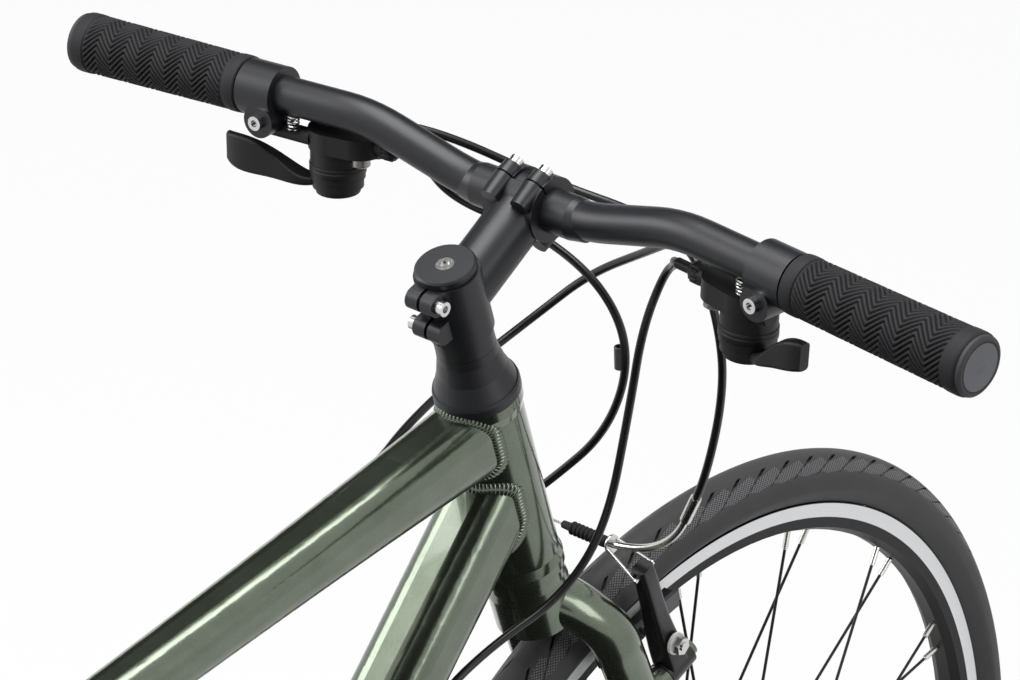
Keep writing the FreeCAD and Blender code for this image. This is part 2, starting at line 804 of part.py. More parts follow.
def fork_end(side):
    y0 = side * FORK_SPACING / 2
    y1 = side * (FORK_SPACING / 2 + 6)
    hole = FRONT + Vector(-20, 0, 6)
    body = arm_plate(FRONT, FRONT + BLADE_DIR * 34.0, 14, 7, y0, y1)
    body = body.fuse(arm_plate(FRONT, hole, 10, 6.5, y0, y1))
    n = Vector(1, 0, 0)
    w = AXLE_R + 0.05
    low = Vector(0, 0, -40)
    slot = plate([FRONT + n * w, FRONT + n * w + low, FRONT - n * w + low, FRONT - n * w], y0 - 9, y0 + 9)
    body = body.cut(slot).cut(rod(FRONT + Y * (y0 - 9), FRONT + Y * (y0 + 9), w))
    body = body.cut(rod(hole + Y * (y0 - 9), hole + Y * (y0 + 9), 2.5)).cut(blade(side)).removeSplitter()
    return max(body.Solids, key=lambda s: s.Volume)


def fork_blades():
    out = []
    for side in (1, -1):
        body = blade(side).cut(crown_core()).fuse(brake_post(side, False))
        out.append(max(body.removeSplitter().Solids, key=lambda s: s.Volume))
    return out + both(fork_end)


def headset_cover():
    g = STEERER_R
    ring_t = HEAD_TOP - 7.0
    rows = [(g, 0), (17.2, 0), (17.6, 6), (20, 17), (24.0, ring_t - 58.0), (g, ring_t - 58.0)]
    cover = turned(rows, steer(58.0), DOWN)
    seat_ring = turned([(g, 0), (24.6, 0), (25.2, 2), (25.2, 6.7), (g, 6.7)], steer(ring_t), DOWN)
    spacer = ring(steer(46.2), DOWN, 17.2, g, 11.6)
    return [cover, seat_ring, spacer]


STEM_DIR = unit(BAR_C - steer(26.5))
STEM_UP = Vector(-STEM_DIR.z, 0, STEM_DIR.x)
CLAMP_HALF = 17.5
FACE_Y = 10.5
FACE_Z = 17.0
EAR_OFF = -20.5
EAR_R = 6.3
EARS = (11.4, 31.5)


def face_screws():
    """Faceplate screws, heads ahead of the bar."""
    out = []
    for y in (-FACE_Y, FACE_Y):
        for z in (-FACE_Z, FACE_Z):
            at = BAR_C + STEM_DIR * 9.0 + STEM_UP * z + Y * y
            out.append(screw(at, STEM_DIR * -1, 4.2, 4.5, 2.5, 20.5))
    return out


def clamp_screws():
    """Steerer clamp screws at the back of the stem, one from each side."""
    return [screw(steer(EARS[0], EAR_OFF, -9.5), Y, 4.2, 5.0, 2.5, 18.0),
            screw(steer(EARS[1], EAR_OFF, 9.5), Y * -1, 4.2, 5.0, 2.5, 18.0)]


def stem_core():
    body = rod(steer(5.0), steer(46.0), 18.8)
    body = body.fuse(rod(steer(26.5), BAR_C, STEM_R))
    body = body.fuse(rod(BAR_C - Y * CLAMP_HALF, BAR_C + Y * CLAMP_HALF, 19.0))
    for y in (-FACE_Y, FACE_Y):
        for z in (-FACE_Z, FACE_Z):
            lug = BAR_C + STEM_UP * z + Y * y
            body = body.fuse(cone(lug - STEM_DIR * 15, lug, 5.4, 6.3))
    for t in EARS:
        body = body.fuse(rod(steer(t, EAR_OFF, -9.5), steer(t, EAR_OFF, 9.5), EAR_R))
        body = body.fuse(block(steer(t, EAR_OFF), AHEAD, Y, 0, 12, -9.5, 9.5, -EAR_R, EAR_R))
    return body


def stem():
    body = stem_core()
    body = body.cut(rod(steer(0), steer(60), STEERER_R))
    body = body.cut(rod(BAR_C - Y * 40, BAR_C + Y * 40, CLAMP_R))
    body = body.cut(block(BAR_C, STEM_DIR, Y, 0.0, 60, -40, 40, -60, 60))
    body = body.cut(block(steer(26.5), AHEAD, Y, -40, -10, -1.0, 1.0, -30, 30))
    for s, tool in face_screws() + clamp_screws():
        body = body.cut(tool)
    return [max(body.removeSplitter().Solids, key=lambda s: s.Volume)]


def stem_faceplate():
    out = rod(BAR_C - Y * 4.0, BAR_C + Y * 4.0, 17.2)
    for y in (-FACE_Y, FACE_Y):
        inner = 4.0 if y > 0 else -CLAMP_HALF
        outer = CLAMP_HALF if y > 0 else -4.0
        out = out.fuse(rod(BAR_C + Y * inner, BAR_C + Y * outer, 19.0))
        for z in (-FACE_Z, FACE_Z):
            lug = BAR_C + STEM_UP * z + Y * y
            out = out.fuse(cone(lug, lug + STEM_DIR * 9.0, 6.3, 5.6))
    out = out.cut(rod(BAR_C - Y * 40, BAR_C + Y * 40, CLAMP_R))
    out = out.cut(block(BAR_C, STEM_DIR, Y, -60, 1.2, -40, 40, -60, 60))
    for s, tool in face_screws():
        out = out.cut(tool)
    return [max(out.removeSplitter().Solids, key=lambda s: s.Volume)]


def cap_screw():
    return screw(steer(2.2), DOWN, 5.2, 2.2, 3.0, 30.0)


def top_cap():
    body = turned([(0, 0), (16.4, 0), (17.4, 1), (17.4, 4.8), (0, 4.8)], steer(0), DOWN)
    return [body.cut(cap_screw()[1])]


def lever_clamp_screw(side):
    out, ahead, up = control_dirs(side)
    return screw(control(side, CLAMP_Y - 4, -15.0, -14.0), ahead, 4.3, 3.6, 2.5, 14.0)


def cockpit_bolts():
    group = face_screws() + clamp_screws() + [cap_screw(), lever_clamp_screw(1), lever_clamp_screw(-1)]
    return [s for s, tool in group]


def bar_path():
    """Corners of the bar's centre line from right to left."""
    half = []
    for y, k in ((41.5, 0.0), (111.5, 1.0)):
        e = y - 129.0
        x = (-BAR_BACK - BAR_SWEEP * e) * k
        z = (BAR_RISE - BAR_FALL * e) * k
        half.append((y, x, z))
    tip = bar_point(1, BAR_HALF) - BAR_C
    half.append((BAR_HALF, tip.x, tip.z))
    right = [BAR_C + Vector(x, -y, z) for y, x, z in reversed(half)]
    left = [BAR_C + Vector(x, y, z) for y, x, z in half]
    return right + left


def handlebar():
    body = swept(bar_path(), BAR_R, 112.0)
    straight = rod(BAR_C - Y * 34, BAR_C + Y * 34, CLAMP_R)
    inner = swept(bar_path(), BAR_R - 2.0, 112.0)
    body = body.fuse(straight)
    for side in (1, -1):
        body = body.fuse(cone(BAR_C + Y * (34 * side), BAR_C + Y * (44 * side), CLAMP_R, BAR_R))
    return [body.cut(inner).removeSplitter()]


def grip(side):
    n = BAR_HALF - GRIP_IN
    r = GRIP_R
    rows = [(BAR_R, 0), (r + 0.6, 0), (r + 0.6, 8), (r - 0.4, 8.6), (r + 0.5, n - 9), (r + 1.4, n - 8.4),
            (r + 1.4, n), (BAR_R, n)]
    return turned(rows, bar_point(side, GRIP_IN), bar_out(side))


def grips():
    return both(grip)


def end_plug(side):
    r = GRIP_R
    tip = bar_point(side, BAR_HALF)
    rows = [(0, -14), (BAR_R - 2.1, -14), (BAR_R - 2.1, 0)]
    rows += [(r + 0.4, 0), (r + 0.4, 2.0), (r - 1, 3.0), (0, 3.4)]
    return turned(rows, tip, bar_out(side))


def bar_end_plugs():
    return both(end_plug)


def bracket(side):
    out, ahead, up = control_dirs(side)
    lo, la, lu = lever_dirs(side)
    py, pf = LEVER_PIVOT
    body = rod(bar_point(side, CLAMP_Y - 12), bar_point(side, CLAMP_Y + 12), 16.2)
    body = body.fuse(rod(control(side, CLAMP_Y - 4, -15, -14), control(side, CLAMP_Y - 4, 10, -14), 10.0))
    base = lever(side, CLAMP_Y, 0, 0)
    near, far = (8, 24) if side > 0 else (-24, -8)
    body = body.fuse(block(base, lo, la * side, -30, 10, near, far, -9, 9))
    for a, b in ((5.0, 9.0), (-9.0, -5.0)):
        body = body.fuse(rod(lever(side, py, pf, a), lever(side, py, pf, b), 9.0))
        w = [lever(side, y, f, a) for y, f in ((py - 9, 20), (py + 9, 20), (py + 9, pf), (py - 9, pf))]
        body = body.fuse(Part.Face(Part.makePolygon(w + w[:1])).extrude(lu * (b - a)))
    body = body.fuse(rod(lever(side, py, pf, -9), lever(side, py, pf, 9), 3.0))
    body = body.fuse(rod(lever(side, CLAMP_Y - 29, 20, 0), lever(side, CLAMP_Y - 42, 20, 0), 4.6))
    body = body.cut(rod(bar_point(side, CLAMP_Y - 70), bar_point(side, CLAMP_Y + 70), BAR_R))
    body = body.cut(lever_clamp_screw(side)[1])
    return max(body.removeSplitter().Solids, key=lambda s: s.Volume)


def brake_brackets():
    return both(bracket)


def brake_lever(side):
    lo, la, lu = lever_dirs(side)
    py, pf = LEVER_PIVOT
    body = rod(lever(side, py, pf, -4.6), lever(side, py, pf, 4.6), 8.0)
    rows = [(0, 1, 9.0, 10.0), (18, 13, 8.4, 10.0), (44, 25, 8.0, 11.0)]
    rows += [(74, 27, 7.6, 12.0), (98, 23, 7.0, 12.0), (106, 24, 7.0, 11.0)]
    wires = []
    for i in range(len(rows)):
        a = rows[max(i - 1, 0)]
        b = rows[min(i + 1, len(rows) - 1)]
        d = unit(lo * (b[0] - a[0]) + la * (b[1] - a[1]))
        n = unit(la - d * la.dot(d))
        y, f, h, w = rows[i]
        wires.append(section(lever(side, py + y, pf + f, 0), n, lu, w * 0.75, h, 2.4))
    body = body.fuse(loft(wires))
    body = body.cut(rod(lever(side, py, pf, -9), lever(side, py, pf, 9), 3.06))
    return [max(body.removeSplitter().Solids, key=lambda s: s.Volume)]


def pod(side):
    out, ahead, up = control_dirs(side)
    ty = THUMB_AT[0] + POD_SHIFT[side]
    tf = THUMB_AT[1]
    ry = RELEASE_AT[0] + POD_SHIFT[side]
    rf = RELEASE_AT[1]

    def disc(y, f, r, u0, u1):
        return rod(under(side, y, f, u0), under(side, y, f, u1), r)

    body = disc(ty, tf, 17.0, POD_TOP, POD_MID).fuse(disc(ry, tf, 15.0, POD_TOP, POD_MID))
    corners = ((ry, tf - 15), (ty, tf - 17), (ty, tf + 17), (ry, tf + 15))
    pts = [under(side, y, f, POD_TOP) for y, f in corners]
    body = body.fuse(Part.Face(Part.makePolygon(pts + pts[:1])).extrude(up * (POD_MID - POD_TOP)))
    body = body.fuse(disc(ry, rf, 8.0, POD_TOP, POD_MID - 3.0))
    body = body.fuse(disc(ry, rf, 3.0, POD_MID - 9.0, POD_MID))
    body = body.fuse(disc(ty, tf, 16.0, POD_MID, POD_LOW)).fuse(disc(ty, tf, 5.0, POD_LOW, POD_LOW - 6.0))
    body = body.fuse(disc(ty, tf, 13.0, POD_LOW - 6.0, POD_LOW - 9.0))
    body = body.fuse(rod(under(side, ry - 12, tf, -22), under(side, ry - 19, tf, -22), 6.2))
    body = body.fuse(rod(under(side, ry - 19, tf, -22), under(side, ry - 26, tf, -22), 4.6))
    body = body.fuse(rod(under(side, ty + 10, 0, -22), under(side, CLAMP_Y - 4, 0, -22), 5.0))
    py, pf = LEVER_PIVOT
    body = body.cut(bracket(side)).cut(rod(bar_point(side, 80), bar_point(side, 200), BAR_R + 0.2))
    body = body.cut(rod(lever(side, py, pf, -14), lever(side, py, pf, 14), 11.0))
    return max(body.removeSplitter().Solids, key=lambda s: s.Volume)


def shifter_pods():
    return both(pod)


THUMB_ROWS = {
    1: [(10, -4, -3.0, 10, 5.0), (22, -9, -2.0, 12, 8.0), (38, -13, 3.5, 8, 17.0), (56, -16, 6.5, 6, 22.0),
        (68, -14, 8.0, 5, 18.0)],
    -1: [(10, -4, -3.0, 10, 5.0), (22, -10, 1.0, 12, 8.0), (34, -14, 9.0, 9, 15.0), (46, -16, 14.0, 8, 18.0),
         (53, -15, 15.0, 7, 16.0)],
}


def thumb_lever(side):
    out, ahead, up = control_dirs(side)
    ty = THUMB_AT[0] + POD_SHIFT[side]
    tf = THUMB_AT[1]
    body = rod(under(side, ty, tf, POD_LOW - 0.4), under(side, ty, tf, POD_LOW - 5.6), 15.0)
    wires = []
    for y, f, u, w, h in THUMB_ROWS[side]:
        wires.append(section(under(side, ty + y, tf + f, POD_LOW + u), ahead, up, w, h, 2.2))
    body = body.fuse(loft(wires))
    for tool in (rod(under(side, ty, tf, 0), under(side, ty, tf, -90), 5.06),
                 rod(under(side, ty, tf, POD_LOW - 0.4), under(side, ty, tf, 0), 16.6)):
        body = body.cut(tool)
    return [max(body.removeSplitter().Solids, key=lambda s: s.Volume)]


def release_lever(side):
    out, ahead, up = control_dirs(side)
    ry = RELEASE_AT[0] + POD_SHIFT[side]
    rf = RELEASE_AT[1]
    u0 = POD_MID - 3.4
    u1 = POD_MID - 8.0
    body = rod(under(side, ry, rf, u0), under(side, ry, rf, u1), 7.0)
    outline = ((-6, 3), (6, -2), (34, 13), (36, 17), (32, 21), (16, 16))
    pts = [under(side, ry + y, rf + f, u0) for y, f in outline]
    body = body.fuse(Part.Face(Part.makePolygon(pts + pts[:1])).extrude(up * (u1 - u0)))
    body = body.cut(rod(under(side, ry, rf, u0 + 5), under(side, ry, rf, u1 - 5), 3.06))
    return [max(body.removeSplitter().Solids, key=lambda s: s.Volume)]


PAD_R = 308.0


class Brake:
    """Points on one V-brake: y to the left, r out from the axle, f off the stay."""

    def __init__(self, rear):
        self.rear = rear
        self.axle = REAR if rear else FRONT
        self.up = SS_DIR if rear else BLADE_DIR
        self.out = SS_OUT if rear else BLADE_OUT
        self.post_y = stay_y(POST_AT) if rear else blade_y(POST_AT)
        self.noodle = 1 if rear else -1

    def at(self, y, r, f):
        return self.axle + self.up * r + self.out * f + Y * y

    def mid(self):
        return POST_F0 + 0.3 + 10.0

    def tip(self):
        return POST_AT + ARM_L

    def pad(self, side, r0, r1, y0, y1, half):
        """A strip that follows the rim beside the brake arm."""
        centre = self.at(0, PAD_R, self.mid()) - self.axle
        a = math.degrees(math.atan2(centre.z, centre.x))
        corners = [Vector(r, 0, h) for r, h in ((r0, y0), (r1, y0), (r1, y1), (r0, y1), (r0, y0))]
        strip = Part.Face(Part.makePolygon(corners)).revolve(Vector(0, 0, 0), Vector(0, 0, 1), 2 * half)
        strip.Placement = FreeCAD.Placement(self.axle, FreeCAD.Rotation(Vector(1, 0, 0), 90))
        if side > 0:
            strip = strip.mirror(self.axle, Y)
        strip.rotate(self.axle, Y, -(a - half))
        return strip

    def arm(self, side):
        py = self.post_y
        f0 = POST_F0 + 0.3
        f1 = POST_F0 + POST_LEN - 0.3
        top = self.tip() + (-5.0 if side == self.noodle else 7.0)
        body = rod(self.at(side * py, POST_AT, f0), self.at(side * py, POST_AT, f1), 9.0)
        rows = [(POST_AT, py, 17, 17), (PAD_R, py - 1, 16, 15), (POST_AT + 60, py, 12, 12),
                (self.tip() - 18, py + 1, 11, 12), (top, py + 1, 10, 12)]
        wires = [section(self.at(side * y, r, self.mid()), Y, self.out, w, h, 3.0) for r, y, w, h in rows]
        body = body.fuse(loft(wires))
        body = body.cut(rod(self.at(side * py, POST_AT, 0), self.at(side * py, POST_AT, 60), 4.06))
        pad_axis = (self.at(side * 20, PAD_R, self.mid()), self.at(side * (py + 30), PAD_R, self.mid()))
        body = body.cut(rod(pad_axis[0], pad_axis[1], 3.0))
        slot = self.at(0, self.tip(), self.mid() + 3.0)
        if side != self.noodle:
            body = body.cut(rod(slot + Y * (side * 8), slot + Y * (side * 80), 2.2))
        hook = self.at(side * (py + 1), self.tip() - 10.0, 0)
        body = body.cut(rod(hook + self.out * (self.mid() - 12), hook + self.out * (self.mid() + 12), 1.7))
        y0 = RIM_W / 2 + PAD_GAP
        rubber = self.pad(side, PAD_R - 5, PAD_R + 5, y0, y0 + 6.5, 6.3)
        holder = self.pad(side, PAD_R - 5.5, PAD_R + 5.5, y0 + 6.5, y0 + 9.5, 6.6)
        inner = self.at(side * (y0 + 9.5), PAD_R, self.mid())
        bolt = rod(inner, self.at(side * (py + 16), PAD_R, self.mid()), 3.0)
        washer = ring(self.at(side * (py + 8.0), PAD_R, self.mid()), Y * side, 7.0, 3.0, 2.0)
        nut = hexagon(self.at(side * (py + 10.0), PAD_R, self.mid()), Y * side, 10.0, 5.0, 3.0)
        out = [max(body.removeSplitter().Solids, key=lambda s: s.Volume), rubber, holder, bolt, washer, nut]
        return out

    def noodle_points(self):
        s = self.noodle
        r = self.tip()
        bend = 60.0
        f = self.mid() + 3.0
        return [self.at(s * 14, r, f), self.at(s * bend, r + 7, f), self.at(s * (bend + 16), r + 40, f + 9)]

    def cable(self):
        """Noodle, boot and the bared wire to the far arm."""
        s = self.noodle
        r = self.tip()
        pts = self.noodle_points()
        f = self.mid() + 3.0
        noodle = swept(pts, 2.3, 45.0)
        ferrule = rod(pts[-1], pts[-1] + unit(pts[-1] - pts[-2]) * 22.0, 3.4)
        rows = [(0, 0), (2.4, 0), (2.4, 6)]
        for k in range(6):
            rows += [(4.2, 7.5 + 3 * k), (3.0, 9 + 3 * k)]
        rows += [(3.6, 24.5), (3.6, 33), (0, 33)]
        boot = turned(rows, self.at(s * 13.4, r, f) - Y * (s * 33), Y * s)
        wire = rod(self.at(-s * (self.post_y - 6), r, f), self.at(-s * 19.8, r, f), WIRE_R)
        d = unit(pts[1] - pts[0])
        link = ring(pts[0] + d * 3.0, d, 5.8, 2.3, 1.6)
        py = self.post_y + 1
        for k in (-1, 1):
            a = pts[0] + d * 3.8 + self.out * (k * 4.6)
            b = self.at(s * py, self.tip() - 10, self.mid() + k * 8.2)
            link = link.fuse(rod(a, b + (a - b) * -0.02, 1.1))
        hook = rod(self.at(s * py, r - 10, self.mid() - 9), self.at(s * py, r - 10, self.mid() + 9), 1.6)
        stirrup = max(link.fuse(hook).removeSplitter().Solids, key=lambda q: q.Volume)
        return [noodle, ferrule, boot, wire, stirrup]

    def ferrule_end(self):
        pts = self.noodle_points()
        return pts[-1] + unit(pts[-1] - pts[-2]) * 22.0, unit(pts[-1] - pts[-2])


def tyre(centre):
    r0 = BEAD_R + 6.5
    w = TYRE_W / 2
    mid = BEAD_R + TYRE_W * 0.5
    pts = [(r0, -(RIM_W / 2 - 3.0)), (r0 + 1.5, -(RIM_W / 2 - 0.5)), (mid - 4, -w + 0.6), (mid + 1, -w),
           (mid + 8, -w + 2.2), (WHEEL_R - 5, -w + 8.0), (WHEEL_R - 1.0, -w * 0.28), (WHEEL_R, 0)]
    outer = pts + [(r, -y) for r, y in reversed(pts[:-1])]
    curve = Part.BSplineCurve()
    curve.interpolate([Vector(r, 0, y) for r, y in outer])
    inner_pts = [(r0, RIM_W / 2 - 3.0), (r0, RIM_W / 2 - 6.0), (mid - 2, w - 4.5), (mid + 6, w - 5.5),
                 (WHEEL_R - 5.5, 4.0)]
    inner = inner_pts + [(r, -y) for r, y in reversed(inner_pts)]
    lines = [Vector(r, 0, y) for r, y in inner]
    face = Part.Face(Part.Wire([curve.toShape()] + Part.makePolygon(lines).Edges))
    solid = face.revolve(Vector(0, 0, 0), Vector(0, 0, 1), 360)
    solid.Placement = FreeCAD.Placement(centre, FreeCAD.Rotation(Vector(0, 0, 1), Y))
    return [solid]


RIM_IN = 297.0


def rim(centre):
    w = RIM_W / 2
    top = BEAD_R + 6.3
    rows = [(RIM_IN, -5), (RIM_IN + 3.5, -w + 0.8), (top, -w), (top, -w + 2.0), (RIM_IN + 9, -w + 2.4),
            (RIM_IN + 5, -4), (RIM_IN + 5, 4), (RIM_IN + 9, w - 2.4), (top, w - 2.0), (top, w),
            (RIM_IN + 3.5, w - 0.8), (RIM_IN, 5)]
    return [turned(rows, centre, Y)]


def spokes(centre, flange_r, left_y, right_y):
    out = []
    n = SPOKES // 2
    for side, fy in ((1, left_y), (-1, right_y)):
        for k in range(n):
            a = 2 * math.pi * (k + (0.25 if side < 0 else 0.0)) / n
            lead = 1 if k % 2 else -1
            b = a + lead * 2 * math.pi * 3.0 / n
            inboard = side * (fy - 0.0) + (1.9 * lead)
            p = centre + Vector(math.cos(b) * flange_r, inboard, math.sin(b) * flange_r)
            q = centre + Vector(math.cos(a) * (RIM_IN - 0.3), side * 2.0, math.sin(a) * (RIM_IN - 0.3))
            d = unit(q - p)
            m = q - d * 12.0
            out.append(rod(p, m, SPOKE_R))
            out.append(rod(m, q, 1.9))
    return out


def hub_rows(h, left_y, right_y, flange_r):
    edge = flange_r + 4
    return [(8.06, -h), (11, -h), (11, -right_y - 3.0), (edge, -right_y - 0.9), (edge, -right_y + 0.9),
            (11, -right_y + 3.0), (10, 0), (11, left_y - 3.0), (edge, left_y - 0.9),
            (edge, left_y + 0.9), (11, left_y + 3.0), (11, h), (8.06, h)]


FRONT_FLANGE = (17.0, 35.0, 35.0)
REAR_FLANGE = (21.0, 35.0, 18.0)


def front_hub():
    r, left, right = FRONT_FLANGE
    return [turned(hub_rows(FORK_SPACING / 2 - 3.0, left, right, r), FRONT, Y)]


def rear_hub():
    r, left, right = REAR_FLANGE
    rows = hub_rows(REAR_SPACING / 2 - 3.0, left, right, r)
    rows[1] = (16.0, -(REAR_SPACING / 2 - 3.0))
    rows[2] = (16.0, -right - 3.0)
    return [turned(rows, REAR, Y)]


def sprocket(centre, teeth, y, thick, phase, bore):
    """A toothed wheel whose valleys seat the chain rollers."""
    rp = pitch_r(teeth)
    seat_r = ROLLER_R + 0.2
    tip_r = rp + 3.1
    step = 2 * math.pi / teeth
    edges = []

    def polar(r, a):
        return Vector(math.cos(a) * r, 0, math.sin(a) * r)

    open_a = rad(62.0)
    first = None
    last = None
    for k in range(teeth):
        a = phase + step * k
        c = polar(rp, a)
        inward = polar(-1, a)
        side = Vector(-math.sin(a), 0, math.cos(a))
        p = c + inward * (seat_r * math.cos(open_a)) - side * (seat_r * math.sin(open_a))
        q = c + inward * (seat_r * math.cos(open_a)) + side * (seat_r * math.sin(open_a))
        m = c + inward * seat_r
        t0 = polar(tip_r, a + step / 2 - 0.9 / tip_r)
        t1 = polar(tip_r, a + step / 2 + 0.9 / tip_r)
        if first is None:
            first = p
        else:
            edges.append(Part.LineSegment(last, p).toShape())
        edges.append(Part.Arc(p, m, q).toShape())
        edges.append(Part.LineSegment(q, t0).toShape())
        edges.append(Part.LineSegment(t0, t1).toShape())
        last = t1
    edges.append(Part.LineSegment(last, first).toShape())
    body = Part.Face(Part.Wire(edges)).extrude(Y * thick)
    body = body.cut(Part.makeCylinder(bore, thick + 2, Vector(0, -1, 0), Y))
    body.translate(Vector(centre.x, y - thick / 2, centre.z))
    return body


def cog_y(k):
    return CHAIN_Y + (k - 3) * COG_STEP


def cassette():
    out = []
    for k in range(len(COGS)):
        phase = PHASES[3] if k == 3 else 0.1 * k
        out.append(sprocket(REAR, COGS[k], cog_y(k), 1.8, phase, 16.0))
    for k in range(len(COGS) - 1):
        y = cog_y(k) + 0.9
        out.append(ring(Vector(REAR.x, y, REAR.z), Y, 18.5, 16.0, COG_STEP - 1.8))
    return out


SPIDER_R = 52.0


def ring_y(k):
    return CHAIN_Y + (k - 1) * RING_STEP


def chainrings():
    out = []
    bores = (SPIDER_R - 8, SPIDER_R - 8, 30.0)
    for k in range(3):
        phase = PHASES[0] if k == 1 else 0.05 * k
        body = sprocket(BB, RINGS[k], ring_y(k), 2.0, phase, bores[k])
        out.append(body)
    for k in range(5):
        a = 2 * math.pi * k / 5 + 0.3
        p = BB + Vector(math.cos(a) * SPIDER_R, 0, math.sin(a) * SPIDER_R)
        out.append(rod(p + Y * (ring_y(0) + 1.0), p + Y * (ring_y(1) - 1.0), 5.0))
        q = BB + Vector(math.cos(a) * 36.0, 0, math.sin(a) * 36.0)
        out.append(rod(q + Y * (ring_y(2) - 1.0), q + Y * (ring_y(0) - 1.0), 4.0))
    return out


ARM_Y = 66.0


def crank_arm(side):
    """Right arm points forward at rest, left arm back."""
    d = Vector(1, 0, 0) if side < 0 else Vector(-1, 0, 0)
    n = Vector(0, 0, 1)
    y = side * (ARM_Y + 2)
    wires = [section(BB + Y * y, Y, n, 15, 30, 5),
             section(BB + d * 60 + Y * (y + side * 4), Y, n, 13, 24, 5),
             section(BB + d * (CRANK_L - 8) + Y * (y + side * 8), Y, n, 13, 26, 5)]
    body = loft(wires)
    body = body.fuse(rod(BB + Y * (y - 9), BB + Y * (y + 9), 17))
    eye = BB + d * CRANK_L + Y * (y + side * 8)
    body = body.fuse(rod(eye - Y * 6.5, eye + Y * 6.5, 13.5))
    if side < 0:
        for k in range(5):
            a = 2 * math.pi * k / 5 + 0.3
            p = BB + Vector(math.cos(a), 0, math.sin(a)) * (SPIDER_R + 6)
            y0 = ring_y(0) - 1.0
            body = body.fuse(arm_plate(BB, p, 12, 7, y0, y0 - 6))
    body = body.cut(rod(BB - Y * 120, BB + Y * 120, 8.5))
    body = body.cut(rod(eye - Y * 20, eye + Y * 20, 7.0))
    return body.removeSplitter()


def pedal_eye(side):
    d = Vector(1, 0, 0) if side < 0 else Vector(-1, 0, 0)
    return BB + d * CRANK_L + Y * (side * (ARM_Y + 10))


def crank_arms():
    out = both(crank_arm)
    out.append(rod(BB - Y * (ARM_Y + 8), BB + Y * (ARM_Y + 8), 8.5))
    for side in (1, -1):
        p = pedal_eye(side)
        root = rod(p - Y * (side * 6), p + Y * (side * 10), 7.0)
        pin = root.fuse(rod(p + Y * (side * 10), p + Y * (side * 92), 5.0))
        out.append(pin.removeSplitter())
    return out


def pedal(side):
    p = pedal_eye(side) + Y * (side * 12)
    x = Vector(1, 0, 0)
    z = Vector(0, 0, 1)
    core = rod(p, p + Y * (side * 82), 10.0)
    frame = None
    y0, y1 = (4, 80) if side > 0 else (-80, -4)
    frame = block(p, x, Y, -47, 47, y0, y1, -12, 12)
    frame = frame.cut(block(p, x, Y, -38, -12, y0 + 10, y1 - 10, -20, 20))
    frame = frame.cut(block(p, x, Y, 12, 38, y0 + 10, y1 - 10, -20, 20))
    for k in (-1, 1):
        for n in range(5):
            y = y0 + 8 + n * (y1 - y0 - 16) / 4
            frame = frame.cut(rod(p + x * (k * 40) + Y * y + z * 11, p + x * (k * 50) + Y * y + z * 11, 4.0))
            frame = frame.cut(rod(p + x * (k * 40) + Y * y - z * 11, p + x * (k * 50) + Y * y - z * 11, 4.0))
    body = frame.fuse(core).cut(rod(p - Y * 5 * side, p + Y * (side * 81.0), 5.06))
    return [max(body.removeSplitter().Solids, key=lambda s: s.Volume)]


def oblong(r, y0, y1):
    """A chain side plate from the pin at the origin to the pin one pitch along x."""
    body = Part.makeCylinder(r, y1 - y0, Vector(0, y0, 0), Y)
    body = body.fuse(Part.makeCylinder(r, y1 - y0, Vector(PITCH, y0, 0), Y))
    box = Part.makeBox(PITCH, y1 - y0, 2 * r * 0.72, Vector(0, y0, -r * 0.72))
    return body.fuse(box).removeSplitter()


def inner_link():
    body = oblong(4.0, -2.2, -1.2).fuse(oblong(4.0, 1.2, 2.2))
    for x in (0, PITCH):
        body = body.fuse(Part.makeCylinder(ROLLER_R, 2.4, Vector(x, -1.2, 0), Y))
    for x in (0, PITCH):
        body = body.cut(Part.makeCylinder(1.85, 8, Vector(x, -4, 0), Y))
    return body.removeSplitter()


def outer_link():
    body = oblong(3.9, -3.35, -2.3).fuse(oblong(3.9, 2.3, 3.35))
    for x in (0, PITCH):
        body = body.fuse(Part.makeCylinder(1.8, 7.0, Vector(x, -3.5, 0), Y))
    return body.removeSplitter()


def chain():
    kinds = (inner_link(), outer_link())
    out = []
    for k in range(LINKS):
        p = PINS[k]
        q = PINS[(k + 1) % LINKS]
        d = q - p
        mid = (p + q) * 0.5
        a = math.degrees(math.atan2(d.z, d.x))
        link = kinds[k % 2].copy()
        start = mid - unit(d) * (PITCH / 2)
        spin = FreeCAD.Rotation(Vector(0, -1, 0), a)
        link.Placement = FreeCAD.Placement(Vector(start.x, CHAIN_Y, start.z), spin)
        out.append(link)
    return out


def front_mech():
    """Band and body of the front derailleur on the seat tube."""
    t = seat(166.0)
    band = ring(t, SEAT_UP, SEAT_TUBE_R + 3.0, SEAT_TUBE_R, 14.0)
    body = block(FD_HINGE, Vector(1, 0, 0), Y, -15.5, 15.5, 5.2, 14.0, -9, 5)
    body = body.cut(rod(seat(100), seat(300), SEAT_TUBE_R + 3.0))
    pin = rod(FD_HINGE - Vector(17, 0, 0), FD_HINGE + Vector(17, 0, 0), 2.5)
    ears = None
    for x in (-15.5, 12.0):
        ear = block(FD_HINGE, Vector(1, 0, 0), Y, x, x + 3.5, -4, 14, -6, 5)
        ears = ear if ears is None else ears.fuse(ear)
    solid = body.fuse(ears).fuse(pin).cut(rod(seat(100), seat(300), SEAT_TUBE_R + 3.0))
    return [band, max(solid.removeSplitter().Solids, key=lambda s: s.Volume)]


CAGE_R0 = 106.0
CAGE_R1 = 122.0


